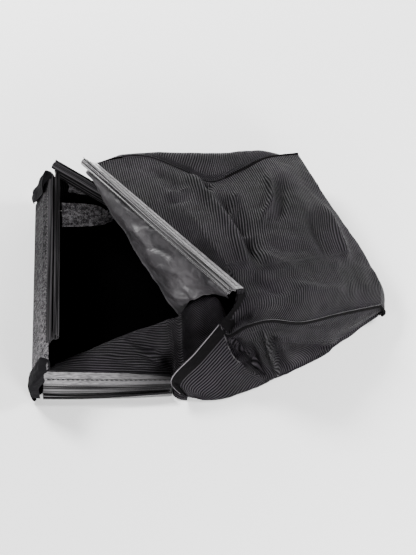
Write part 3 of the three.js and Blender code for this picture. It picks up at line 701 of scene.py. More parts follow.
class NearPanel:
    """The near side panel.

    Its front lies open on the ground as far as the near channel, over a low hump. Past the
    channel it folds back over itself and stands up as the outside of the bag.
    """

    channel_end = 3
    corner = 8
    last = 14
    fold_flat = 1.3
    fold_round = 10.0
    columns = (44, 12, 46, 5)
    part_knots = (0, 3, 5, 7)
    rows = (70, 90, 90)
    past_start = 5.0
    past_end = 3.0
    hem_start = 0.05
    seam_start = 0.42
    crest = np.array([
        [-262, 56, 30], [-200, 80, 43], [-130, 106, 54], [-72, 122, 62], [-60, 124, 66],
        [-46, 132, 72], [-34, 148, 80], [-8, 152, 94], [22, 130, 108], [50, 90, 36],
    ], float)
    slope = np.array([
        [-262, 50, 34], [-200, 60, 42], [-130, 74, 49], [-66, 78, 50], [-56, 76, 48],
        [-44, 72, 45], [-24, 70, 44], [6, 66, 38], [50, 64, 18], [80, 62, 9],
    ], float)
    hem = np.array([[-57, 9, 4], [-36, 3, 3], [-63, 12, 47], [-22, 48, 77]], float)
    fold = np.array([
        [-57, 24, 15], [-37, 10, 6], [-6, 4, 4.5], [38, 9, 4.5], [98, 37, 4.5], [104, 41, 4.5],
        [115, 47, 4.5], [133, 56, 4.5], [184, 86, 4.5], [238, 127, 4.5], [307, 186, 4.5],
    ], float)
    rise = np.array([
        [-57, 14, 8], [-36.5, 6, 4.2], [-36, 9, 28], [4, 29, 44], [56, 42, 60], [72, 60, 52],
        [84, 50, 76], [114, 53, 82], [166, 77, 62], [229, 121, 45], [309, 179, 26],
    ], float)

    def length(self, k: float) -> float:
        """Distance along the near channel of a station of the mouth's edge."""
        whole = Layout.near.length + self.past_start
        return whole * (1 - k / self.channel_end) - self.past_end

    def rim(self, k: float) -> Array:
        """The panel's upper edge at a station."""
        if k <= self.channel_end:
            return Layout.near.place(self.length(k), -SIZES.rim_outside, 0)
        if k < self.corner:
            start = Layout.near.place(-self.past_end, SIZES.hem_in_slot, 0)
            line = np.vstack([start, self.hem, Layout.near_corner])
            return spline(line, (k - self.channel_end) / (len(line) - 1))
        return spline(Layout.near_top, (k - self.corner) / (len(Layout.near_top) - 1))

    def station(self, k: int) -> list[Array]:
        """Places of one whole station, from the base seam over the inner layer to the rim."""
        seam = Layout.near_base[k]
        rim = self.rim(k)
        if k <= self.channel_end:
            slope = self.slope[k]
            between = [slope + (rim - slope) * t for t in (0.45, 0.65, 0.73, 0.85)]
            return [seam, self.crest[k], slope, *between, rim]
        fold = self.fold[k - 4]
        rise = self.rise[k - 4]
        if k < 6:
            slope = self.slope[k]
            foot = slope + (fold - slope) * 0.8
            return [seam, self.crest[k], slope, foot, fold, fold + (rise - fold) * 0.3, rise, rim]
        inward = unit((seam - fold) * vec(1, 1, 0))
        flat = vec(1, 1, 0)
        foot = (fold + inward * self.fold_round) * flat + vec(0, 0, self.fold_flat)
        start = (fold + inward * self.fold_round * 0.35) * flat + vec(0, 0, 10)
        if k < len(self.crest):
            inner = [self.crest[k], self.slope[k]]
        else:
            inner = [
                (seam + (foot - seam) * t) * flat + vec(0, 0, self.fold_flat) for t in (0.35, 0.7)
            ]
        return [seam, *inner, foot, fold, start, rise, rim]

    def row(self, guides: Array, k: float) -> Array:
        """One section of the panel at a place along the mouth."""
        knots = spline(guides, k / self.last)
        knots[-1] = self.rim(k)
        inner, turn, outer, slot = self.columns
        shares = np.array(self.part_knots) / self.part_knots[-1]
        trim = clear_of(Layout.near_base, k / self.last, knots[1])
        parts = [
            stretch(spline(knots, np.linspace(shares[0], shares[1], 60)), trim, 0, inner),
            stretch(spline(knots, np.linspace(shares[1], shares[2], 24)), 0, 0, turn)[1:],
        ]
        rising = spline(knots, np.linspace(shares[2], shares[3], 60))
        if k <= self.channel_end:
            across = Layout.near.across(self.length(k))
            parts.append(stretch(rising, 0, 0, outer)[1:])
            return np.concatenate([*parts, into_slot(knots[-1], across, slot)])
        top_share = (k - self.corner) / (self.last - self.corner)
        trim = clear_of(Layout.near_top, top_share, knots[6]) if top_share > 0 else 0
        parts.append(stretch(rising, 0, trim, outer + slot)[1:])
        row = np.concatenate(parts)
        row[:, 2] = np.maximum(row[:, 2], self.fold_flat)
        return row

    def grid(self) -> tuple[Array, Array]:
        """The whole panel, and the station of each row."""
        stations = np.array([self.station(k) for k in range(self.last + 1)])
        whole = Layout.near.length + self.past_start
        start = self.channel_end * (1 - (Layout.near.length + self.past_end) / whole)
        held, hem, seam = self.rows
        places = np.concatenate([
            np.linspace(start, self.channel_end, held),
            np.linspace(self.channel_end + self.hem_start, self.corner, hem),
            np.linspace(self.corner + self.seam_start, self.last, seam),
        ])
        rows = np.array([self.row(stations, k) for k in places])
        return stand_back(rows, SIZES.seam_gap * 1.5), places


class FarPanel:
    """The far side panel, which stands along the back and leans into the mouth."""

    stations = 9
    channel_end = 2
    corner = 5
    columns = 64
    slot_columns = 4
    rows = (50, 50, 90)
    past_start = 2.0
    past_end = 5.0
    hem_start = 0.5
    hem_end = 0.18
    seam_start = 0.28
    foot = np.array([
        [-294, 444, 9], [-175, 456, 12], [-95, 470, 14], [-82, 472, 16], [-72, 474, 18],
        [-60, 476, 20], [-18, 480, 22], [42, 486, 22], [112, 500, 22], [168, 506, 14],
    ], float)
    middle = np.array([
        [-288, 446, 48], [-172, 440, 54], [-90, 424, 58], [-90, 448, 72], [-98, 464, 92],
        [-108, 468, 108], [-50, 478, 100], [22, 486, 90], [106, 504, 70], [171, 509, 45],
    ], float)
    crest = np.array([
        [-279, 443, 80], [-172, 412, 76], [-87, 372, 72], [-104, 412, 98], [-134, 438, 122],
        [-165, 440, 146], [-92, 448, 148], [10, 456, 136], [98, 482, 119], [170, 501, 80],
    ], float)

    def rim(self, s: float) -> Array:
        """The panel's upper edge at a share of its length."""
        k = s * self.stations
        if k <= self.channel_end:
            share = k / self.channel_end
            at = (Layout.far_length + self.past_start) * (1 - share) - self.past_end * share
            return Layout.far.place(at, -SIZES.rim_outside, 0)
        if k <= self.corner:
            start = Layout.far.place(-self.past_end, SIZES.hem_in_slot, 0)
            line = np.array([start, [-122, 372, 114], [-172, 406, 137], Layout.far_corner])
            return spline(line, (k - self.channel_end) / 3)
        return spline(Layout.far_top, (k - self.corner) / (self.stations - self.corner))

    def row(self, s: float) -> Array:
        """One section from the base seam to the rim."""
        knots = np.array([
            spline(Layout.far_base, s), spline(self.foot, s), spline(self.middle, s),
            spline(self.crest, s), self.rim(s),
        ])
        line = spline(knots, np.linspace(0, 1, 90))
        top_share = (s * self.stations - self.corner) / (self.stations - self.corner)
        rim = clear_of(Layout.far_top, top_share, line[81]) if top_share > 0 else 0
        base = clear_of(Layout.far_base, s, line[9])
        if s * self.stations > self.channel_end + 1e-6:
            return stretch(line, base, rim, self.columns)
        row = stretch(line, base, 0, self.columns - self.slot_columns)
        return np.vstack([row, into_slot(row[-1], Layout.far.across(0.0), self.slot_columns)])

    def grid(self) -> tuple[Array, Array]:
        """The whole panel, and the station of each row."""
        held, hem, seam = self.rows
        places = np.concatenate([
            np.linspace(0, self.channel_end, held),
            np.linspace(self.channel_end + self.hem_start, self.corner - self.hem_end, hem),
            np.linspace(self.corner + self.seam_start, self.stations, seam),
        ])
        rows = np.array([self.row(k / self.stations) for k in places])
        return stand_back(rows, SIZES.seam_gap), places


class TopPanel:
    """The top panel, from its channel and near hem back to the rear, and down to the ground."""

    far_part = 66
    near_part = 38
    clip_share = 4 / 6
    fine_steps = 180
    past_end = 3.0
    slot_rows = 6
    body_start = 0.07
    body_rows = 116
    rear_start = 0.08
    rear_rows = 22
    guides = np.array([
        [[-60, 372, 152], [0, 285, 164], [34, 215, 166], [76, 140, 154], [72, 92, 142]],
        [[26, 350, 146], [62, 278, 154], [90, 210, 156], [116, 145, 152], [112, 95, 150]],
        [[92, 385, 136], [114, 320, 142], [140, 245, 142], [164, 170, 138], [160, 115, 138]],
        [[140, 422, 124], [164, 350, 126], [192, 275, 120], [220, 205, 110], [228, 158, 98]],
        [[190, 442, 96], [218, 382, 91], [253, 318, 81], [289, 252, 64], [305, 212, 53]],
    ], float)
    rear_guides = np.array([
        [[196, 448, 50], [227, 388, 48], [262, 322, 43], [297, 255, 34], [313, 214, 28]],
        [[192, 446, 2.6], [222, 386, 2.6], [256, 320, 2.6], [291, 253, 2.6], [305, 214, 2.6]],
    ], float)

    def halves(self, points: Array, trim_far: float, trim_near: float) -> Array:
        """One row, in two parts that meet behind the end of the top channel."""
        line = spline(points, np.linspace(0, 1, self.fine_steps + 1))
        cut = round(self.fine_steps * self.clip_share)
        far = stretch(line[: cut + 1], trim_far, 0, self.far_part)
        near = stretch(line[cut:], 0, trim_near, self.near_part)
        return np.vstack([far, near[1:]])

    def rim(self, depth: float) -> Array:
        """The front row at a depth in the channel's slot, and its free hem to the near corner."""
        frame = Layout.top
        t = np.linspace(0, 1, self.far_part + 1)
        at = (frame.length + self.past_end) * (1 - t) - self.past_end * t
        straight = frame.place(at, depth + 0 * t, 0)
        hem_start = frame.place(-self.past_end, SIZES.hem_in_slot, 0)
        middle = (hem_start + Layout.near_corner) / 2 + vec(8, -4, 6)
        hem = np.array([hem_start, middle, Layout.near_corner])
        t = np.linspace(0, 1, self.near_part + 1)[1:]
        along_seam = unit(vec(34, 66, 98) - Layout.near_corner)
        inward = unit(-frame.across(0.0) * (1 - t[:, None]) + along_seam * t[:, None])
        free = spline(hem, t * 0.98) + inward * (SIZES.hem_in_slot - depth)
        return np.vstack([straight, free])

    def body(self, s: float) -> Array:
        """A row behind the rim, at a share of the top seams."""
        stations = len(self.guides)
        along = (s * stations - 1) / (stations - 1)
        if along >= 0:
            inner = spline(self.guides, along)
        else:
            inner = self.guides[0] + (spline(self.guides, 0.02) - self.guides[0]) * along / 0.02
        points = np.vstack([spline(Layout.far_top, s), inner, spline(Layout.near_top, s)])
        return self.halves(
            points, clear_of(Layout.far_top, s, inner[0]), clear_of(Layout.near_top, s, inner[-1])
        )

    def rear(self, s: float) -> Array:
        """A row down the rear."""
        inner = spline(np.array([self.guides[-1], *self.rear_guides]), s)
        points = np.vstack([spline(Layout.far_rear, s), inner, spline(Layout.near_rear, s)])
        return self.halves(points, SIZES.seam_gap, SIZES.seam_gap)

    def grid(self) -> Array:
        """The whole panel, from the front row in its channel down to the ground."""
        depths = np.linspace(SIZES.hem_in_slot, -SIZES.rim_outside, self.slot_rows)
        slot = [self.rim(depth) for depth in depths]
        body = [self.body(s) for s in np.linspace(self.body_start, 1, self.body_rows)]
        joined = np.array([slot[-2], slot[-1], body[0], body[8]])
        joint = spline(joined, np.linspace(1, 2, 10)[1:-1] / 3)
        rear = [self.rear(s) for s in np.linspace(self.rear_start, 1, self.rear_rows)]
        return stand_back(np.array([*slot, *joint, *body, *rear]), SIZES.seam_gap * 0.6)


class BasePanel:
    """The vinyl base: a strip in the slot, the left wall, a rolled foot and the flat floor."""

    columns = 90
    flat_rows = 60
    wall_rows = 90
    rim_ends = vec(431, -6)

    def straight(self, near: Array, far: Array) -> Array:
        """A straight row between two points."""
        return near + (far - near) * np.linspace(0, 1, self.columns + 1)[:, None]

    def grid(self) -> Array:
        """The whole panel, from its edge in the slot down the wall and over the ground."""
        floor = SIZES.vinyl / 2
        wall = SIZES.wall_height

        def rim(depth: float) -> Array:
            return self.straight(*Layout.left.place(self.rim_ends, np.full(2, depth), 0))

        def across(x: float, z: float) -> Array:
            return self.straight(Layout.wall(x, 1, z), Layout.wall(x, 438, z))

        knots = [
            rim(-SIZES.rim_outside), across(-286, wall * 0.58), across(-295, wall * 0.28),
            across(-297, 9), across(-292, 2.4),
            self.straight(Layout.wall(-279, 20, floor), Layout.wall(-272, 436, floor)),
        ]
        flat = []
        for s in np.linspace(0.08, 1, self.flat_rows):
            near = spline(Layout.near_base, s)
            far = spline(Layout.far_base, s)
            near[2] = far[2] = floor
            line = self.straight(near, far)
            trims = clear_of(Layout.near_base, s, far), clear_of(Layout.far_base, s, near)
            flat.append(stretch(line, *trims, self.columns))
        slot = [rim(depth) for depth in np.linspace(SIZES.hem_in_slot, 1, 5)]
        standing = spline(np.array([*knots, flat[0]]), np.linspace(0, 1, self.wall_rows))[:-1]
        rows = np.array([*slot, *standing, *flat])
        rows[:, :, 2] = np.maximum(rows[:, :, 2], floor)
        return stand_back(rows, SIZES.seam_gap)


class Gusset:
    """A gathered pouch of satin, wrapped from the wall's outer face round one of its ends.

    Attributes:
        bulge: How far its belly stands out.
        seat: Distance of its first edge from the wall.
        crown: Share of the height by which its upper edge drops at both sides.
        low: Height of its lower edge, away from its first edge.
        pull_in: How far its lower part is moved in X and Y, half way round.
        pull_height: Heights between which that pull dies out.
        wall_gap: How far outside the wall's rim line it starts.
        wall_foot: How far the wall's foot stands out past its rim.
        roundness: Power that rounds the corners, less for squarer ones.
        tuck_from: Share of the height above which the tuck begins.
        steps: Steps of its grid each way.
    """

    bulge = 8.0
    seat = 0.45
    crown = 0.3
    low = 17.0
    pull_in = vec(7, 4)
    pull_height = (6.0, 46.0)
    wall_gap = 2.4
    wall_foot = 26.0
    roundness = 0.6
    tuck_from = 0.72
    steps = 44

    def __init__(self, places: tuple[float, float], side: float, height: float, foot: float,
                 tuck: float, start: Callable[[float], float],
                 end: Callable[[float], Array]) -> None:
        """Sets one pouch's own shape.

        Args:
            places: Y of the two lines of the pouch between its edges.
            side: Side of the bag that it is on, -1 near or 1 far.
            height: Height of its crown.
            foot: How far its lower edge rises towards its first edge.
            tuck: How far its crown is moved inwards.
            start: Y of its first edge at a share of its height.
            end: Its second edge at a height.
        """
        self.places = places
        self.side = side
        self.height = height
        self.foot = foot
        self.tuck = tuck
        self.start = start
        self.end = end

    def outline(self, y: float, z: float) -> float:
        """X of the wall's outer face at a height."""
        up = min(z / SIZES.wall_height, 1)
        rim = Layout.wall(Layout.wall_rim_x, y, 0)[0]
        return rim - self.wall_gap - self.wall_foot * (1 - up**1.6)

    def place(self, z: float, share: float) -> Array:
        """A place of the pouch at a height, at a share of the way round it."""
        belly = self.bulge * math.sin(math.pi * (z + 6) / (self.height + 16))
        start = self.start(z / self.height)
        first, second = self.places
        line = np.array([
            [self.outline(start, z) + self.seat, start, z],
            [self.outline(first, z) - 1 - 0.7 * belly, first, z],
            [self.outline(second, z) - 0.5 * belly, second + self.side * 0.7 * belly, z],
            self.end(z),
        ])
        point = spline(line, share)
        middle = math.sin(math.pi * share)
        tuck = float(smoothstep(z, self.tuck_from * self.height, self.height)) ** 2
        point[0] += self.tuck * tuck * middle
        point[:2] += self.pull_in * middle * (1 - float(smoothstep(z, *self.pull_height)))
        return point

    def grid(self) -> Array:
        """The pouch, from its rounded foot up to its rounded crown."""
        shares = np.linspace(0, 1, self.steps + 1)
        rows = []
        for rise in shares:
            row = []
            for share in shares:
                square = 1 - math.sin(math.pi * share) ** self.roundness
                low = self.low + self.foot * square * (share < 0.5)
                high = self.height * (1 - self.crown * square)
                row.append(self.place(low + (high - low) * rise, share))
            rows.append(row)
        return np.array(rows)


class Lining:
    """The satin lining, fixed under the top channel, which billows down into the mouth."""

    edge = np.array([
        [-206, 388, 148], [-183, 335, 138], [-135, 260, 114], [-92, 196, 86], [-48, 142, 56],
        [-30, 158, 88], [5, 150, 105], [40, 122, 128],
    ], float)
    belly = 12.0
    billow = vec(-0.4, -0.3, 0.7)
    rows = 150
    columns = 70

    def grid(self) -> Array:
        """Rows along the channel, each from its flange down to the loose edge."""
        frame = Layout.top
        under = -(
            SIZES.slot_half(SIZES.mesh) + SIZES.channel_wall + SIZES.clearance + SIZES.lining / 2
        )
        rows = []
        for t in np.linspace(0.02, 0.98, self.rows):
            length = frame.length * (1 - t)
            held = frame.place(length, 6, under)
            lip = frame.place(length, SIZES.flange_depth - 3, under)
            low = spline(self.edge, t)
            hang = frame.place(length, SIZES.flange_depth + 4, -SIZES.barrel_bore - 5)
            middle = (hang + low) / 2 + self.billow * (math.sin(math.pi * t) * self.belly)
            line = spline(np.array([lip, hang, middle, low]), np.linspace(0, 1, 60))
            rows.append(np.vstack([held, (held + lip) / 2, stretch(line, 0, 0, self.columns)]))
        return np.array(rows)


class InnerFold:
    """A fold of the base's vinyl inside the far corner of the mouth."""

    low = np.array([[-275, 397, 0], [-240, 398, 0], [-205, 401, 0], [-180, 412, 0]], float)
    high = np.array([[-275, 427, 38], [-240, 427, 36], [-205, 426, 29], [-180, 424, 7]], float)
    rows = 50
    columns = 30

    def grid(self) -> Array:
        """Rows from the wall inwards, each from the fold's lower edge to its upper edge."""
        rest = SIZES.vinyl * 1.5 + SIZES.clearance
        rows = []
        for s in np.linspace(0, 1, self.rows):
            a = spline(self.low, s)
            b = spline(self.high, s)
            a[2] = rest
            foot = a + (b - a) * 0.4
            foot[2] = rest + 0.12 * b[2]
            b[2] = max(b[2], rest + 1)
            rows.append(spline(np.array([a, foot, b]), np.linspace(0, 1, self.columns)))
        return np.array(rows)


def band(grid: Array, places: Array, first: float, last: float,
         span: Callable[[float, float], tuple[float, float]], side: float, thickness: float,
         gap: float) -> Array:
    """A band sewn beside a panel's own surface.

    Args:
        grid: The panel's points.
        places: The station of each of its rows.
        first: Station where the band starts.
        last: Station where it ends.
        span: Gives the band's two edges on a row, from the row's length and its share.
        side: Side of the panel that it lies on, 1 or -1.
        thickness: Its thickness.
        gap: Its distance from the panel's face.
    """
    lift = side * ((SIZES.mesh + thickness) / 2 + gap)
    raised = grid + grid_normals(grid) * lift
    rows = []
    for i in np.flatnonzero((places >= first) & (places <= last)):
        row = raised[i]
        length = run(row)[-1]
        start, end = span(length, (places[i] - first) / (last - first))
        rows.append(stretch(row, start, length - end, BAND_COLUMNS))
    return np.array(rows)


Socket = bpy.types.NodeSocket
Inputs = dict[str | int, object]


class Graph:
    """Adds nodes to one node tree and joins their sockets."""

    def __init__(self, tree: bpy.types.NodeTree) -> None:
        self.tree = tree

    def feed(self, node: bpy.types.Node, inputs: Inputs) -> None:
        """Joins a node's inputs, by name or number, to sockets, or gives them plain values."""
        for key, value in inputs.items():
            if isinstance(value, Socket):
                self.tree.links.new(value, node.inputs[key])
            else:
                node.inputs[key].default_value = value

    def node(self, kind: str, inputs: Inputs, **settings: object) -> bpy.types.Node:
        """A new node with its inputs and some of its settings."""
        node = self.tree.nodes.new(kind)
        for name, value in settings.items():
            setattr(node, name, value)
        self.feed(node, inputs)
        return node

    def coords(self, kind: str) -> Socket:
        """A place on a piece, as the UV, Object or Generated coordinates."""
        return self.node("ShaderNodeTexCoord", {}).outputs[kind]

    def split(self, place: Socket) -> tuple[Socket, ...]:
        """The three parts of a place."""
        return tuple(self.node("ShaderNodeSeparateXYZ", {0: place}).outputs)

    def math(self, operation: str, first: object, second: object = 0.0) -> Socket:
        """One step of arithmetic."""
        return self.node("ShaderNodeMath", {0: first, 1: second}, operation=operation).outputs[0]

    def times(self, first: object, second: object) -> Socket:
        """A product."""
        return self.math("MULTIPLY", first, second)

    def plus(self, first: object, second: object) -> Socket:
        """A sum."""
        return self.math("ADD", first, second)

    def spread(self, value: object, low: float, high: float, to_low: float = 0.0,
               to_high: float = 1.0) -> Socket:
        """A value carried from one range to another, and kept in it."""
        given = enumerate((value, low, high, to_low, to_high))
        return self.node("ShaderNodeMapRange", dict(given)).outputs[0]

    def ripple(self, turns: Socket) -> Socket:
        """A smooth fall and rise, from 1 at each whole turn to 0 halfway to the next."""
        return self.spread(self.math("COSINE", self.times(turns, 2 * math.pi)), -1, 1)

    def mix(self, share: object, first: object, second: object) -> Socket:
        """A colour between two colours."""
        node = self.node("ShaderNodeMix", {0: share, 6: first, 7: second}, data_type="RGBA")
        return node.outputs[2]

    def noise(self, place: Socket, scale: object, output: str = "Fac", **inputs: float) -> Socket:
        """Noise at a place."""
        given = {"Vector": place, "Scale": scale, **inputs}
        return self.node("ShaderNodeTexNoise", given).outputs[output]

    def slant(self, place: Socket, scale: float) -> Socket:
        """The slanting threads of a weave or a twist."""
        node = self.node("ShaderNodeTexWave", {"Vector": place, "Scale": scale},
                         wave_type="BANDS", bands_direction="DIAGONAL")
        return node.outputs["Fac"]

    def stretched(self, place: Socket, factors: tuple[float, float, float]) -> Socket:
        """A place with its axes stretched."""
        node = self.node("ShaderNodeVectorMath", {0: place, 1: factors}, operation="MULTIPLY")
        return node.outputs[0]

    def bump(self, height: object, distance: float, strength: float, **under: Socket) -> Socket:
        """A normal bent by a height, in metres at full height, over another Normal if given."""
        given = {"Height": height, "Distance": distance, "Strength": strength, **under}
        return self.node("ShaderNodeBump", given).outputs[0]

    def group(self, tree: bpy.types.NodeTree, **inputs: object) -> bpy.types.NodeOutputs:
        """The outputs of a node group set in this tree."""
        return self.node("ShaderNodeGroup", inputs, node_tree=tree).outputs


class Group(Graph):
    """A node group with value inputs and value outputs."""

    def __init__(self, name: str, inputs: dict[str, float], outputs: tuple[str, ...]) -> None:
        super().__init__(bpy.data.node_groups.new(name, "ShaderNodeTree"))
        for key, value in inputs.items():
            self.socket(key, "INPUT").default_value = value
        for key in outputs:
            self.socket(key, "OUTPUT")
        self.given = self.node("NodeGroupInput", {}).outputs
        self.out = self.node("NodeGroupOutput", {})

    def socket(self, name: str, in_out: str) -> bpy.types.NodeTreeInterfaceSocket:
        """A new value socket of the group."""
        return self.tree.interface.new_socket(
            name=name, in_out=in_out, socket_type="NodeSocketFloat")

    def close(self, **outputs: Socket) -> bpy.types.NodeTree:
        """The group's tree, with its outputs joined."""
        self.feed(self.out, outputs)
        return self.tree


class Look(Graph):
    """The nodes of a new material round its Principled shader."""

    def __init__(self, name: str) -> None:
        self.material = bpy.data.materials.new(name)
        self.material.use_nodes = True
        super().__init__(self.material.node_tree)
        self.shader = self.tree.nodes["Principled BSDF"]

    def shaded_inside(self) -> Socket:
        """1 on the sides of sheets inside the bag, where shade is painted near black, and 0
        elsewhere.
        """
        return self.math("GREATER_THAN", self.split(self.coords("UV"))[0], SHADED_INSIDE_UV / 2)

    def shade(self, colour: object, roughness: object, **others: object) -> bpy.types.Material:
        """The material, with its shader's inputs set. An underscore stands for a space."""
        named = {key.replace("_", " "): value for key, value in others.items()}
        self.feed(self.shader, {"Base Color": colour, "Roughness": roughness, **named})
        return self.material


class Finishes:
    """Makes the bag's materials from shared node groups.

    Colours are linear. The other values are places, in metres in the part's frame, at which a look
    changes.
    """

    # Near-black painted shade, for the mesh cloth's holes and for the inside of the bag.
    hole = (0.001, 0.001, 0.001, 1)
    near_channel_y = -0.205
    top_channel_z = 0.142
    near_channel_x = (-0.24, -0.08)
    wall_y = (-0.24, 0.02)
    wall_inside_x = (-0.27, -0.262)
    gusset_x = (-0.245, -0.225)

    def __init__(self) -> None:
        self.ribs = self.rib_group()
        self.grain = self.grain_group()
        self.crinkle = self.crinkle_group()

    @staticmethod
    def rib_group() -> bpy.types.NodeTree:
        """Ribbed mesh cloth: fine ribs along U, with a hole between them at each step."""
        group = Group(
            "ribbed mesh", {"Rib pitch": 0.0045, "Hole pitch": 0.003}, ("Rib", "Hole", "Height")
        )
        place = group.coords("UV")
        u, v, _ = group.split(place)
        wander = group.times(group.noise(place, 14.0, Detail=1.0), 0.0016)
        row = group.math("DIVIDE", group.plus(v, wander), group.given["Rib pitch"])
        rib = group.ripple(row)
        odd = group.math("MODULO", group.math("FLOOR", row), 2.0)
        step = group.math("DIVIDE", u, group.given["Hole pitch"])
        dot = group.ripple(group.plus(step, group.times(odd, 0.5)))
        valley = group.spread(rib, 0.0, 0.45, 1, 0)
        hole = group.times(valley, group.spread(dot, 0.45, 0.85))
        height = group.math("SUBTRACT", rib, group.times(hole, 0.8))
        height = group.plus(height, group.times(dot, 0.25))
        return group.close(Rib=rib, Hole=hole, Height=height)

    @staticmethod
    def grain_group() -> bpy.types.NodeTree:
        """Pebbled grain of vinyl-coated cloth."""
        group = Group("pebbled grain", {"Scale": 420.0}, ("Height", "Speck"))
        place = group.coords("Object")
        cells = group.node("ShaderNodeTexVoronoi", {"Vector": place, "Scale": group.given["Scale"]},
                           feature="SMOOTH_F1").outputs["Distance"]
        fine = group.noise(place, 560.0, Detail=2.0, Roughness=0.6)
        blotch = group.noise(place, 150.0, Detail=2.0)
        height = group.plus(cells, group.times(fine, 0.6))
        speck = group.plus(group.times(fine, 0.7), group.times(blotch, 0.5))
        return group.close(Height=height, Speck=speck)

    @staticmethod
    def crinkle_group() -> bpy.types.NodeTree:
        """Small crinkles of thin cloth: ridged noise at a place that other noise bends."""
        group = Group("crinkles", {"Scale": 26.0}, ("Height", "Crest"))
        place = group.coords("Object")
        bend = group.noise(place, 9.0, "Color")
        bent = group.node("ShaderNodeVectorMath", {0: bend, 1: (0.05, 0.05, 0.05), 2: place},
                          operation="MULTIPLY_ADD").outputs[0]
        rough = group.noise(bent, group.given["Scale"], Detail=4.0, Roughness=0.45)
        centred = group.math("ABSOLUTE", group.math("SUBTRACT", rough, 0.5))
        crest = group.spread(centred, 0.0, 0.09, 1, 0)
        return group.close(Height=group.plus(group.times(crest, 0.35), rough), Crest=crest)

    def mesh_cloth(self) -> bpy.types.Material:
        """Black coated mesh cloth with fine ribs and holes; its rib valleys, holes and inside face
        are painted as shade.
        """
        look = Look("mesh_cloth")
        ribs = look.group(self.ribs)
        crinkle = look.group(self.crinkle, Scale=18.0)
        dust = look.spread(look.noise(look.coords("Object"), 14.0, Detail=5.0), 0.35, 0.7)
        thread = look.mix(dust, (0.0075, 0.0068, 0.008, 1), (0.022, 0.0183, 0.0236, 1))
        # Painted shade: the valleys between the ribs are darker than the rib tops.
        lit = look.mix(ribs["Rib"], (0.0025, 0.0025, 0.0027, 1), thread)
        shaded_inside = look.shaded_inside()
        # Painted shade: near black in the holes and on the side inside the bag.
        colour = look.mix(shaded_inside, look.mix(ribs["Hole"], lit, self.hole), self.hole)
        shine = look.spread(ribs["Rib"], 0.2, 1, 0.04, 0.2)
        soft = look.bump(crinkle["Height"], 0.004, 0.45)
        return look.shade(
            colour, look.spread(ribs["Rib"], 0, 1, 0.8, 0.42),
            Specular_IOR_Level=look.times(shine, look.spread(shaded_inside, 0, 1, 1, 0.1)),
            Normal=look.bump(ribs["Height"], 0.001, 0.8, Normal=soft),
        )

    def vinyl(self) -> bpy.types.Material:
        """Pebbled vinyl with painted light: lighter inside the mouth and towards the near end of the
        wall.
        """
        look = Look("vinyl")
        grain = look.group(self.grain)
        x, y, _ = look.split(look.coords("Object"))
        # Painted light: the vinyl is lighter towards the wall's near end and inside the mouth, where
        # the light falls.
        outer = look.spread(y, *self.wall_y, 1, 0.15)
        inner = look.spread(x, *self.wall_inside_x, 0, 0.7)
        near = look.math("MAXIMUM", outer, inner)
        dark = look.mix(near, (0.003, 0.0028, 0.0032, 1), (0.024, 0.0225, 0.0245, 1))
        light = look.mix(near, (0.009, 0.0086, 0.0094, 1), (0.17, 0.163, 0.171, 1))
        speck = look.spread(grain["Speck"], 0.55, 0.68)
        shaded_inside = look.shaded_inside()
        # Painted shade: the vinyl's side inside the bag is near black.
        colour = look.mix(shaded_inside, look.mix(speck, dark, light), (0.0008, 0.0008, 0.0008, 1))
        return look.shade(
            colour, look.spread(speck, 0, 1, 0.7, 0.45),
            Specular_IOR_Level=look.spread(shaded_inside, 0, 1, 0.02, 0.0),
            Normal=look.bump(grain["Height"], 0.0014, 0.9),
        )

    def satin(self) -> bpy.types.Material:
        """Thin coated satin with a soft sheen and many small creases, painted lighter on their crests
        as highlights, darker on the gussets.
        """
        look = Look("satin")
        crinkle = look.group(self.crinkle, Scale=34.0)
        place = look.coords("Object")
        weave = look.noise(place, 1500.0, Detail=1.0)
        tone = look.spread(look.noise(place, 16.0, Detail=2.0), 0.35, 0.65)
        colour = look.mix(tone, (0.018, 0.0172, 0.019, 1), (0.042, 0.039, 0.042, 1))
        # Painted highlight: the crests of the crinkles are lighter.
        crest = look.times(crinkle["Crest"], 0.12)
        colour = look.mix(crest, colour, (0.10, 0.093, 0.1, 1))
        gusset = look.spread(look.split(place)[0], *self.gusset_x, 1, 0)
        colour = look.mix(gusset, colour, (0.0075, 0.0072, 0.008, 1))
        soft = look.bump(crinkle["Height"], 0.006, 0.27)
        return look.shade(
            colour, look.plus(look.spread(weave, 0, 1, 0.42, 0.58), look.times(gusset, 0.2)),
            Specular_IOR_Level=look.spread(gusset, 0, 1, 0.36, 0.02),
            Normal=look.bump(weave, 0.0002, 0.3, Normal=soft),
        )

    def plastic(self) -> bpy.types.Material:
        """Glossy black soft plastic with streaks along its length from its drawing.

        The near and top channels are painted lighter, as lit, and shine; their flanges carry a
        painted highlight, the near channel has painted shade towards its right end, and the needle's
        dents show as dashes of painted shade.
        """
        look = Look("channel_plastic")
        place = look.coords("UV")
        along, around, _ = look.split(place)
        x, y, z = look.split(look.coords("Object"))
        streaks = look.noise(look.stretched(place, (3.0, 420.0, 1.0)), 1.0, Detail=3.0, Roughness=0.6)
        waves = look.noise(look.stretched(place, (34.0, 60.0, 1.0)), 1.0, Detail=1.0)
        # Streaks that break up the painted highlight on the flanges.
        highlight_streaks = look.noise(look.stretched(place, (90.0, 500.0, 1.0)), 1.0, Detail=4.0)
        # Painted light: the near and top channels (pale) are lighter, as lit, while the far and left
        # ones stay dark.
        near = look.math("LESS_THAN", y, self.near_channel_y)
        pale = look.math("MAXIMUM", near, look.math("GREATER_THAN", z, self.top_channel_z))
        # Painted shade towards the near channel's right end.
        near_right_shade = look.times(near, look.spread(x, *self.near_channel_x, 0, 0.9))
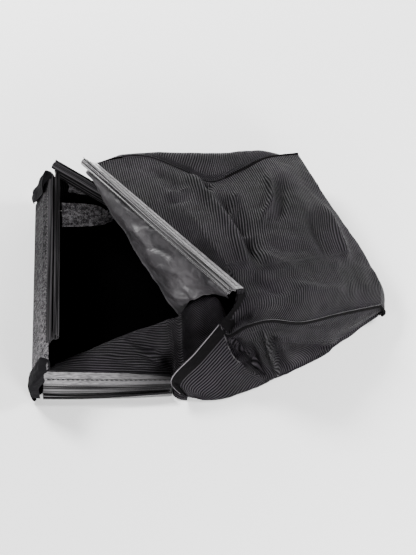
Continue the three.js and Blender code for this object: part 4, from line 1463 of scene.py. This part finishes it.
        # Painted highlight: the flanges of the near and top channels get a light, streaky band.
        on_flange = look.times(look.math("GREATER_THAN", around, 0.0012),
                               look.math("LESS_THAN", around, SIZES.flange_depth * MM))
        flange = look.times(on_flange, pale)
        drawn_and_lit = look.mix(pale, (0.055, 0.053, 0.056, 1), (0.2, 0.195, 0.2, 1))
        drawn_and_lit = look.mix(near_right_shade, drawn_and_lit, (0.02, 0.019, 0.02, 1))
        drawn_and_lit = look.mix(look.spread(streaks, 0.45, 0.62), (0.005, 0.0048, 0.0052, 1), drawn_and_lit)
        flange_highlight = look.mix(look.spread(highlight_streaks, 0.3, 0.7), (0.05, 0.048, 0.051, 1), (0.4, 0.39, 0.4, 1))
        flange_highlight = look.mix(near_right_shade, flange_highlight, (0.05, 0.048, 0.05, 1))
        # Needle holes along the stitching, with painted shade: dark dashes on the flange.
        offset = look.math("SUBTRACT", around, (SIZES.stitch_inset - 0.9) * MM)
        row = look.math("LESS_THAN", look.math("ABSOLUTE", offset), 0.5 * SIZES.stitch_width * MM)
        stitch = look.math("FRACT", look.math("DIVIDE", along, SIZES.stitch_pitch * MM))
        needle_hole_shade = look.times(row, look.math("LESS_THAN", stitch, 0.5))
        colour = look.mix(needle_hole_shade, look.mix(flange, drawn_and_lit, flange_highlight), (0.004, 0.004, 0.004, 1))
        shine = look.spread(pale, 0, 1, 0.0, 0.8)
        wavy = look.bump(waves, 0.0012, 0.3)
        return look.shade(
            colour, look.plus(look.spread(streaks, 0.3, 0.7, 0.1, 0.26), look.times(flange, 0.15)),
            Specular_IOR_Level=shine, Coat_Weight=shine, Coat_IOR=1.8, Coat_Roughness=0.12,
            Normal=look.bump(streaks, 0.0003, 0.5, Normal=wavy),
        )

    def tape(self) -> bpy.types.Material:
        """Matt woven binding tape with a painted highlight along its folded edge."""
        look = Look("tape")
        place = look.coords("UV")
        weave = look.slant(place, 260.0)
        crinkle = look.group(self.crinkle, Scale=40.0)
        colour = look.mix(weave, (0.0015, 0.0015, 0.0016, 1), (0.006, 0.0056, 0.006, 1))
        # Painted highlight: a thin light line near the tape's folded edge.
        edge = ((SIZES.tape_width - inset) * MM for inset in (2.0, 1.2))
        edge_highlight = look.spread(look.split(place)[1], *edge)
        soft = look.bump(crinkle["Height"], 0.004, 0.5)
        return look.shade(
            look.mix(edge_highlight, colour, (0.16, 0.15, 0.16, 1)), 0.7, Specular_IOR_Level=0.02,
            Normal=look.bump(weave, 0.0003, 0.6, Normal=soft),
        )

    def thread(self) -> bpy.types.Material:
        """Twisted black sewing thread."""
        look = Look("thread")
        twist = look.slant(look.coords("UV"), 900.0)
        colour = look.mix(twist, (0.004, 0.004, 0.004, 1), (0.02, 0.019, 0.02, 1))
        return look.shade(colour, 0.5, Normal=look.bump(twist, 0.0002, 0.5))

    def all(self) -> dict[Slot, bpy.types.Material]:
        """Every material by its slot."""
        return {
            Slot.MESH: self.mesh_cloth(),
            Slot.VINYL: self.vinyl(),
            Slot.SATIN: self.satin(),
            Slot.PLASTIC: self.plastic(),
            Slot.TAPE: self.tape(),
            Slot.THREAD: self.thread(),
        }


def add(name: str, data: bpy.types.ID) -> bpy.types.Object:
    """Puts a new object in the scene."""
    thing = bpy.data.objects.new(name, data)
    bpy.context.scene.collection.objects.link(thing)
    return thing


def aim(thing: bpy.types.Object, place: Vector, way: Vector) -> None:
    """Puts a camera or light at a place, looking one way."""
    thing.location = place
    thing.rotation_euler = way.to_track_quat("-Z", "Y").to_euler()


class Stage:
    """Camera, floor and studio light."""

    floor_half = 6.0

    def __init__(self, shift: Array) -> None:
        self.shift = shift

    def camera(self) -> None:
        """Sets the photograph's camera."""
        data = bpy.data.cameras.new("camera")
        data.lens = PhotoView.lens
        data.sensor_width = PhotoView.sensor
        data.sensor_fit = "AUTO"
        camera = add("camera", data)
        target = Vector(((PhotoView.target + self.shift) * MM).tolist())
        back = Vector(PhotoView.back.tolist())
        aim(camera, target + back * PhotoView.distance * MM, -back)
        bpy.context.scene.camera = camera

    def floor(self) -> None:
        """A plain pale floor."""
        mesh = bpy.data.meshes.new("floor")
        square = ((-1, -1), (1, -1), (1, 1), (-1, 1))
        corners = [(x * self.floor_half, y * self.floor_half, 0) for x, y in square]
        mesh.from_pydata(corners, [], [(0, 1, 2, 3)])
        mesh.materials.append(Look("floor").shade((0.97, 0.97, 0.97, 1), 0.9))
        add("floor", mesh)

    def softbox(self, name: str, place: tuple[float, float, float], size: tuple[float, float],
                power: float) -> None:
        """A rectangular light that faces the bag."""
        data = bpy.data.lights.new(name, "AREA")
        data.shape = "RECTANGLE"
        data.size, data.size_y = size
        data.energy = power
        aim(add(name, data), Vector(place), -Vector(place))

    def world(self) -> None:
        """A surround that is pale near the horizon and dark overhead."""
        world = bpy.data.worlds.new("studio")
        world.use_nodes = True
        graph = Graph(world.node_tree)
        height = graph.split(graph.coords("Generated"))[2]
        graph.feed(world.node_tree.nodes["Background"], {
            "Color": (1, 1, 1, 1), "Strength": graph.spread(height, 0.08, 0.4, 0.4, 0.06),
        })
        bpy.context.scene.world = world

    def build(self) -> None:
        """Sets everything."""
        self.world()
        self.floor()
        self.softbox("top_light", (-1.3, 1.0, 1.6), (0.7, 0.6), 92)
        self.softbox("right_light", (1.8, 0.2, 1.1), (0.5, 0.8), 70)
        self.softbox("left_light", (-1.2, -1.7, 1.2), (0.6, 0.6), 24)
        self.softbox("front_light", (0.9, -1.8, 0.8), (0.8, 0.6), 75)
        self.softbox("back_light", (0.1, 1.5, 0.45), (2.0, 0.4), 22)
        self.camera()


FLAP_LINE = ((221, 326), (225.7, 339.3), (230, 350.7), (235.7, 359.3), (241, 363))
NEAR_CREASES = (
    Crease(((115, 338), (140, 350), (165, 365), (171, 377)), 6, 9),
    Crease(((122, 343), (142, 348), (163, 352)), 8, -10),
    Crease(((150, 327), (172, 322), (200, 330), (214, 333)), 6, 5),
    Crease(((100, 352), (128, 362), (150, 368)), 5, 4),
    Crease(FLAP_LINE[::-1], 2.5, 7, 0.1, True),
    Crease(((229, 333), (234, 345), (241, 357)), 9, -10, 0.25),
    Crease(((240.7, 362), (252, 372), (266, 381)), 4, 6),
    Crease(((262.5, 327), (268, 348), (278.6, 377)), 4, 11, 0.15),
    Crease(((270, 330), (279, 350), (288, 376)), 7, -13),
    Crease(((263, 333), (300, 338), (340, 340)), 4, 10, 0.2),
    Crease(((272, 344), (305, 349), (335, 350)), 8, -12),
    Crease(((248, 338), (255, 360), (262, 376)), 6, -7),
    Crease(((296, 324), (318, 329), (346, 320)), 5, -5),
    Crease(((172, 380), (180, 389), (188, 398)), 3, -6),
)
TOP_CREASES = (
    Crease(((180, 167), (198.6, 187), (215.7, 207), (233, 230), (244, 256), (256, 279)), 8, 14, 0.2),
    Crease(((214, 188), (234, 212), (249, 240), (262, 270)), 12, -19),
    Crease(((206, 168), (208, 184), (207, 198)), 6, -13),
    Crease(((163, 195), (178, 193), (193, 189)), 4, 6),
    Crease(((160, 203), (178, 201), (196, 198)), 5, -4),
    Crease(((237, 189), (234, 206), (229, 221)), 5, 10),
    Crease(((267, 167), (271, 200), (263, 217), (259, 230)), 5, 12),
    Crease(((280, 172), (284, 200), (276, 226)), 9, -10),
    Crease(((233, 231), (245, 233), (256, 236)), 4, 5),
    Crease(((319, 199), (334, 228), (351, 265)), 6, 11),
    Crease(((306, 205), (320, 236), (334, 266)), 9, -10),
    Crease(((250, 246), (275, 262), (300, 268)), 9, 7),
    Crease(((266, 244), (292, 250), (316, 246)), 9, -5),
    Crease(((244, 264), (262, 284), (290, 296)), 8, -8),
    Crease(((290, 284), (322, 290), (350, 288)), 8, 7),
    Crease(((148, 170), (168, 180), (184, 196)), 8, -6),
)
LINING_CREASES = (
    Crease(((178, 283), (190, 292), (206, 297)), 5, 5),
    Crease(((134, 236), (146, 229), (154, 233)), 5, 6),
    Crease(((112, 196), (132, 214), (156, 226)), 6, 4),
    Crease(((150, 262), (168, 270), (190, 276)), 6, 5),
    Crease(((140, 246), (158, 250), (178, 262)), 6, -5),
    Crease(((128, 222), (143, 240), (150, 262)), 5, 4),
    Crease(((166, 292), (184, 297), (204, 290)), 5, 5),
)


NEAR_DRAPE = Drape((4, 6, 6, 8), ((70, 2.2, 3.1), (24, 0.8, 4.4)), NEAR_CREASES)
FAR_DRAPE = Drape((4, 6, 8, 8), ((60, 2.0, 7.7),))
TOP_DRAPE = Drape((14, 6, 8, 8), ((80, 2.6, 1.4), (26, 0.9, 6.4)), TOP_CREASES)
FOLD_DRAPE = Drape((2, 6, 5, 0), ((22, 2.4, 8.2),))
LINING_DRAPE = Drape((6, 6, 10, 0), ((42, 3.2, 5.5), (16, 0.5, 2.9)), LINING_CREASES)
GUSSET_DRAPE = Drape((3, 3, 8, 4), ((22, 1.4, 9.2),))


def measured_shift() -> Array:
    """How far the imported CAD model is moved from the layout, read from the left channel's box."""
    low, high = (np.array(corner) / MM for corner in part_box("left_channel"))
    channel = Channel("left_channel", Layout.left, SIZES.vinyl, SIZES.outer_flange_inset)
    section = channel.section()
    points = np.concatenate([
        Layout.left.start + Layout.left.along * at
        + Layout.left.across(0.0) * section[:, :1] + Layout.left.face(0.0) * section[:, 1:]
        for at in (0.0, Layout.left.length)
    ])
    shift = ((low + high) - (points.min(axis=0) + points.max(axis=0))) / 2
    shift[2] = 0
    return shift


@dataclass(frozen=True)
class Cut:
    """The flat cut of a sheet of cloth in metres, and how the bag holds it."""

    width: float
    length: float
    area: float
    held: str
    rests_on: tuple[str, ...]
    with_pieces: tuple[str, ...] = ()


def hem_span(length: float, _: float) -> tuple[float, float]:
    """The edges of a tape along the rim of a panel whose row has this length."""
    return length - SIZES.tape_width, length - 0.5


class Bag:
    """Builds every piece of the bag."""

    tape_gap = 0.8
    patch_gap = 2.2
    flap_lift = 1.2
    flap_radius = 0.9
    top_hem_rows = 8
    top_hem_gap = 1.1
    top_hem_weave = 0.6
    lining_hem_radius = 1.7
    gather_count = 14
    gather_height = 0.7
    seam_swell = 0.7
    seam_lift = 1.2
    edge_up = 2.2
    edge_out = 0.8
    edge_radius = 0.7
    covered_share = 0.46

    def __init__(self, maker: MeshMaker) -> None:
        self.maker = maker

    def near_side(self) -> None:
        """The near side panel, the tape on its hem and a painted highlight along its flap's edge."""
        grid, places = NearPanel().grid()
        near = NEAR_DRAPE.lay(grid)
        near[:, :, 2] = np.maximum(near[:, :, 2], NearPanel.fold_flat)
        along = self.maker.distances(grid)
        from_rim = along[:, -1:, 1] - along[..., 1]
        front = np.stack([along[..., 0], from_rim], axis=-1)
        side = self.maker.straight_ribs(grid)
        ribs = np.where((places < NearPanel.corner)[:, None, None], front, side)
        self.maker.sheet(
            "near_side_cloth", Slot.MESH, near, SIZES.mesh, ("near_side_panel",), ribs=ribs)
        tape = band(near, places, 5.4, 8.0, hem_span, 1, SIZES.tape, self.tape_gap)
        self.maker.sheet("near_hem_cloth_tape", Slot.TAPE, tape, SIZES.tape, ("near_hem_tape",))
        # A thin tube of lighter satin along the flap's edge: a painted highlight on the fold's crest.
        outer = near[:, sum(NearPanel.columns[:2]):]
        edge = trace(outer, FLAP_LINE, self.flap_lift)
        self.maker.tube("flap_edge_highlight", Slot.SATIN, edge, self.flap_radius, ("near_side_panel",))

    def far_side(self) -> None:
        """The far side panel, the tape on its hem and the vinyl patch inside it."""
        grid, places = FarPanel().grid()
        far = FAR_DRAPE.lay(grid)
        ribs = self.maker.straight_ribs(grid)
        self.maker.sheet("far_side_cloth", Slot.MESH, far, SIZES.mesh, ("far_side_panel",),
                         ribs=ribs, inside=0)
        tape = band(far, places, 2.5, 4.43, hem_span, -1, SIZES.tape, self.tape_gap)
        self.maker.sheet("far_hem_cloth_tape", Slot.TAPE, tape, SIZES.tape, ("far_hem_tape",))
        patch = band(far, places, 0.2, 0.8, lambda _, share: (50 + 8 * share, 82 - 17 * share),
                     1, SIZES.vinyl, self.patch_gap)
        self.maker.sheet(
            "inner_patch_vinyl", Slot.VINYL, patch, SIZES.vinyl, ("inner_corner_patch",))

    def top(self) -> None:
        """The top panel and the tape on its free hem."""
        grid = TopPanel().grid()
        top = TOP_DRAPE.lay(grid)
        ribs = self.maker.straight_ribs(grid)
        self.maker.sheet("top_cloth", Slot.MESH, top, SIZES.mesh, ("top_panel",), ribs=ribs)
        part = top[: self.top_hem_rows, TopPanel.far_part + 3:-1]
        wrinkles = rumple(part, 9, 0.9, 2.2)
        lift = wrinkles - (SIZES.mesh + SIZES.tape) / 2 - self.top_hem_gap
        hem = part + grid_normals(part) * lift[..., None]
        weave = self.top_hem_weave * self.maker.distances(hem)[..., ::-1]
        self.maker.sheet(
            "top_hem_cloth_tape", Slot.TAPE, hem, SIZES.tape, ("top_panel",), ribs=weave)

    def base(self) -> None:
        """The vinyl base, and its fold inside the mouth."""
        grid = BasePanel().grid()
        self.maker.sheet("base_vinyl", Slot.VINYL, grid, SIZES.vinyl, ("base_panel",), inside=0)
        grid = FOLD_DRAPE.lay(InnerFold().grid())
        self.maker.sheet("inner_fold_vinyl", Slot.VINYL, grid, SIZES.vinyl, ("inner_vinyl_fold",))

    def lining(self) -> None:
        """The satin lining, with a rolled hem along its loose edge."""
        cloth = LINING_DRAPE.lay(Lining().grid())
        self.maker.sheet("lining_cloth", Slot.SATIN, cloth, SIZES.lining, ("lining",))
        self.maker.tube(
            "lining_hem", Slot.SATIN, cloth[:, -1], self.lining_hem_radius, ("lining",))

    def gussets(self) -> None:
        """The gathered satin pouches at the two corners of the mouth."""
        near_end = Layout.near_left
        near = Gusset((20, 0), -1, 97, 22, 20, lambda _: 38, lambda z: vec(
            near_end[0] - 5 + 13 * float(smoothstep(z, 42, 70)), -4, z))
        far_end = Layout.far_left
        far = Gusset((437, 443), 1, 108, 46, 9, lambda share: 434 - 28 * share, lambda z: vec(
            far_end[0] - 0.1 * z, far_end[1] + 15, z))
        for name, gusset, centre in (
            ("near_corner_gusset", near, (1.0, 0.85)), ("far_corner_gusset", far, (0.5, 1.1)),
        ):
            grid = gusset.grid()
            folds = gathers(*grid.shape[:2], centre, self.gather_count, self.gather_height)
            grid = GUSSET_DRAPE.lay(grid, folds)
            self.maker.sheet(f"{name}_satin", Slot.SATIN, grid, SIZES.mesh, (name,))

    def channels(self) -> None:
        """The four plastic channels and their stitching."""
        on_flange = SIZES.slot_half(SIZES.mesh) + SIZES.channel_wall
        left = Channel("left_channel", Layout.left, SIZES.vinyl, SIZES.outer_flange_inset, 0.1)
        left.build(self.maker)
        left.stitching(self.maker, SIZES.vinyl / 2)
        for name, frame in (("near", Layout.near), ("far", Layout.far), ("top", Layout.top)):
            channel = Channel(f"{name}_channel", frame, SIZES.mesh)
            channel.build(self.maker)
            channel.stitching(self.maker, on_flange)

    @staticmethod
    def top_seam(top: Array, rear: Array) -> Array:
        """The line of a seam beside the top, and on down the rear."""
        return np.vstack([
            spline(top, np.linspace(0.1, 1, 160)), spline(rear, np.linspace(0.04, 0.78, 24)),
        ])

    def bindings(self) -> None:
        """The bound seams, and a painted highlight along the near top seam's edge."""
        rear = np.array([[168, 503, 0], *TopPanel.rear_guides[1], [304, 180, 0]])
        rear[:, 2] = SIZES.binding_radius
        lines = {
            "near_top_seam_binding": self.top_seam(Layout.near_top, Layout.near_rear),
            "far_top_seam_binding": self.top_seam(Layout.far_top, Layout.far_rear),
            "near_base_seam_binding": spline(Layout.near_base, np.linspace(0.02, 1, 200)),
            "far_base_seam_binding": spline(Layout.far_base, np.linspace(0, 0.98, 160)),
            "rear_seam_binding": spline(rear, np.linspace(0.05, 0.96, 120)),
        }
        for name, line in lines.items():
            radius = SIZES.binding_radius
            if name == "near_top_seam_binding":
                radius += self.seam_swell
                line = line + PhotoView.back * self.seam_lift
                # A thin tube of lighter satin over the near top seam: a painted highlight on its
                # edge.
                edge = line + PhotoView.up * self.edge_up + PhotoView.back * self.edge_out
                self.maker.tube("near_top_seam_highlight", Slot.SATIN, edge, self.edge_radius, (name,))
            if name == "far_top_seam_binding":
                part = round(self.covered_share * len(line))
                cover = line[: part + 1]
                self.maker.tube("far_top_seam_cloth", Slot.MESH, cover, SIZES.seam_gap, (name,))
                line = line[part:]
            self.maker.tube(f"{name}_tape", Slot.TAPE, line, radius, (name,))

    def build(self) -> None:
        """Builds every piece."""
        self.near_side()
        self.far_side()
        self.top()
        self.base()
        self.lining()
        self.gussets()
        self.channels()
        self.bindings()


def main() -> None:
    """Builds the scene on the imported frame."""
    logging.basicConfig(level=logging.INFO)
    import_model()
    shift = measured_shift()
    LOG.info("layout to frame: %s mm", shift.round(3).tolist())
    maker = MeshMaker(shift, Finishes().all())
    Bag(maker).build()
    Stage(shift).build()


if __name__ == "__main__":
    main()
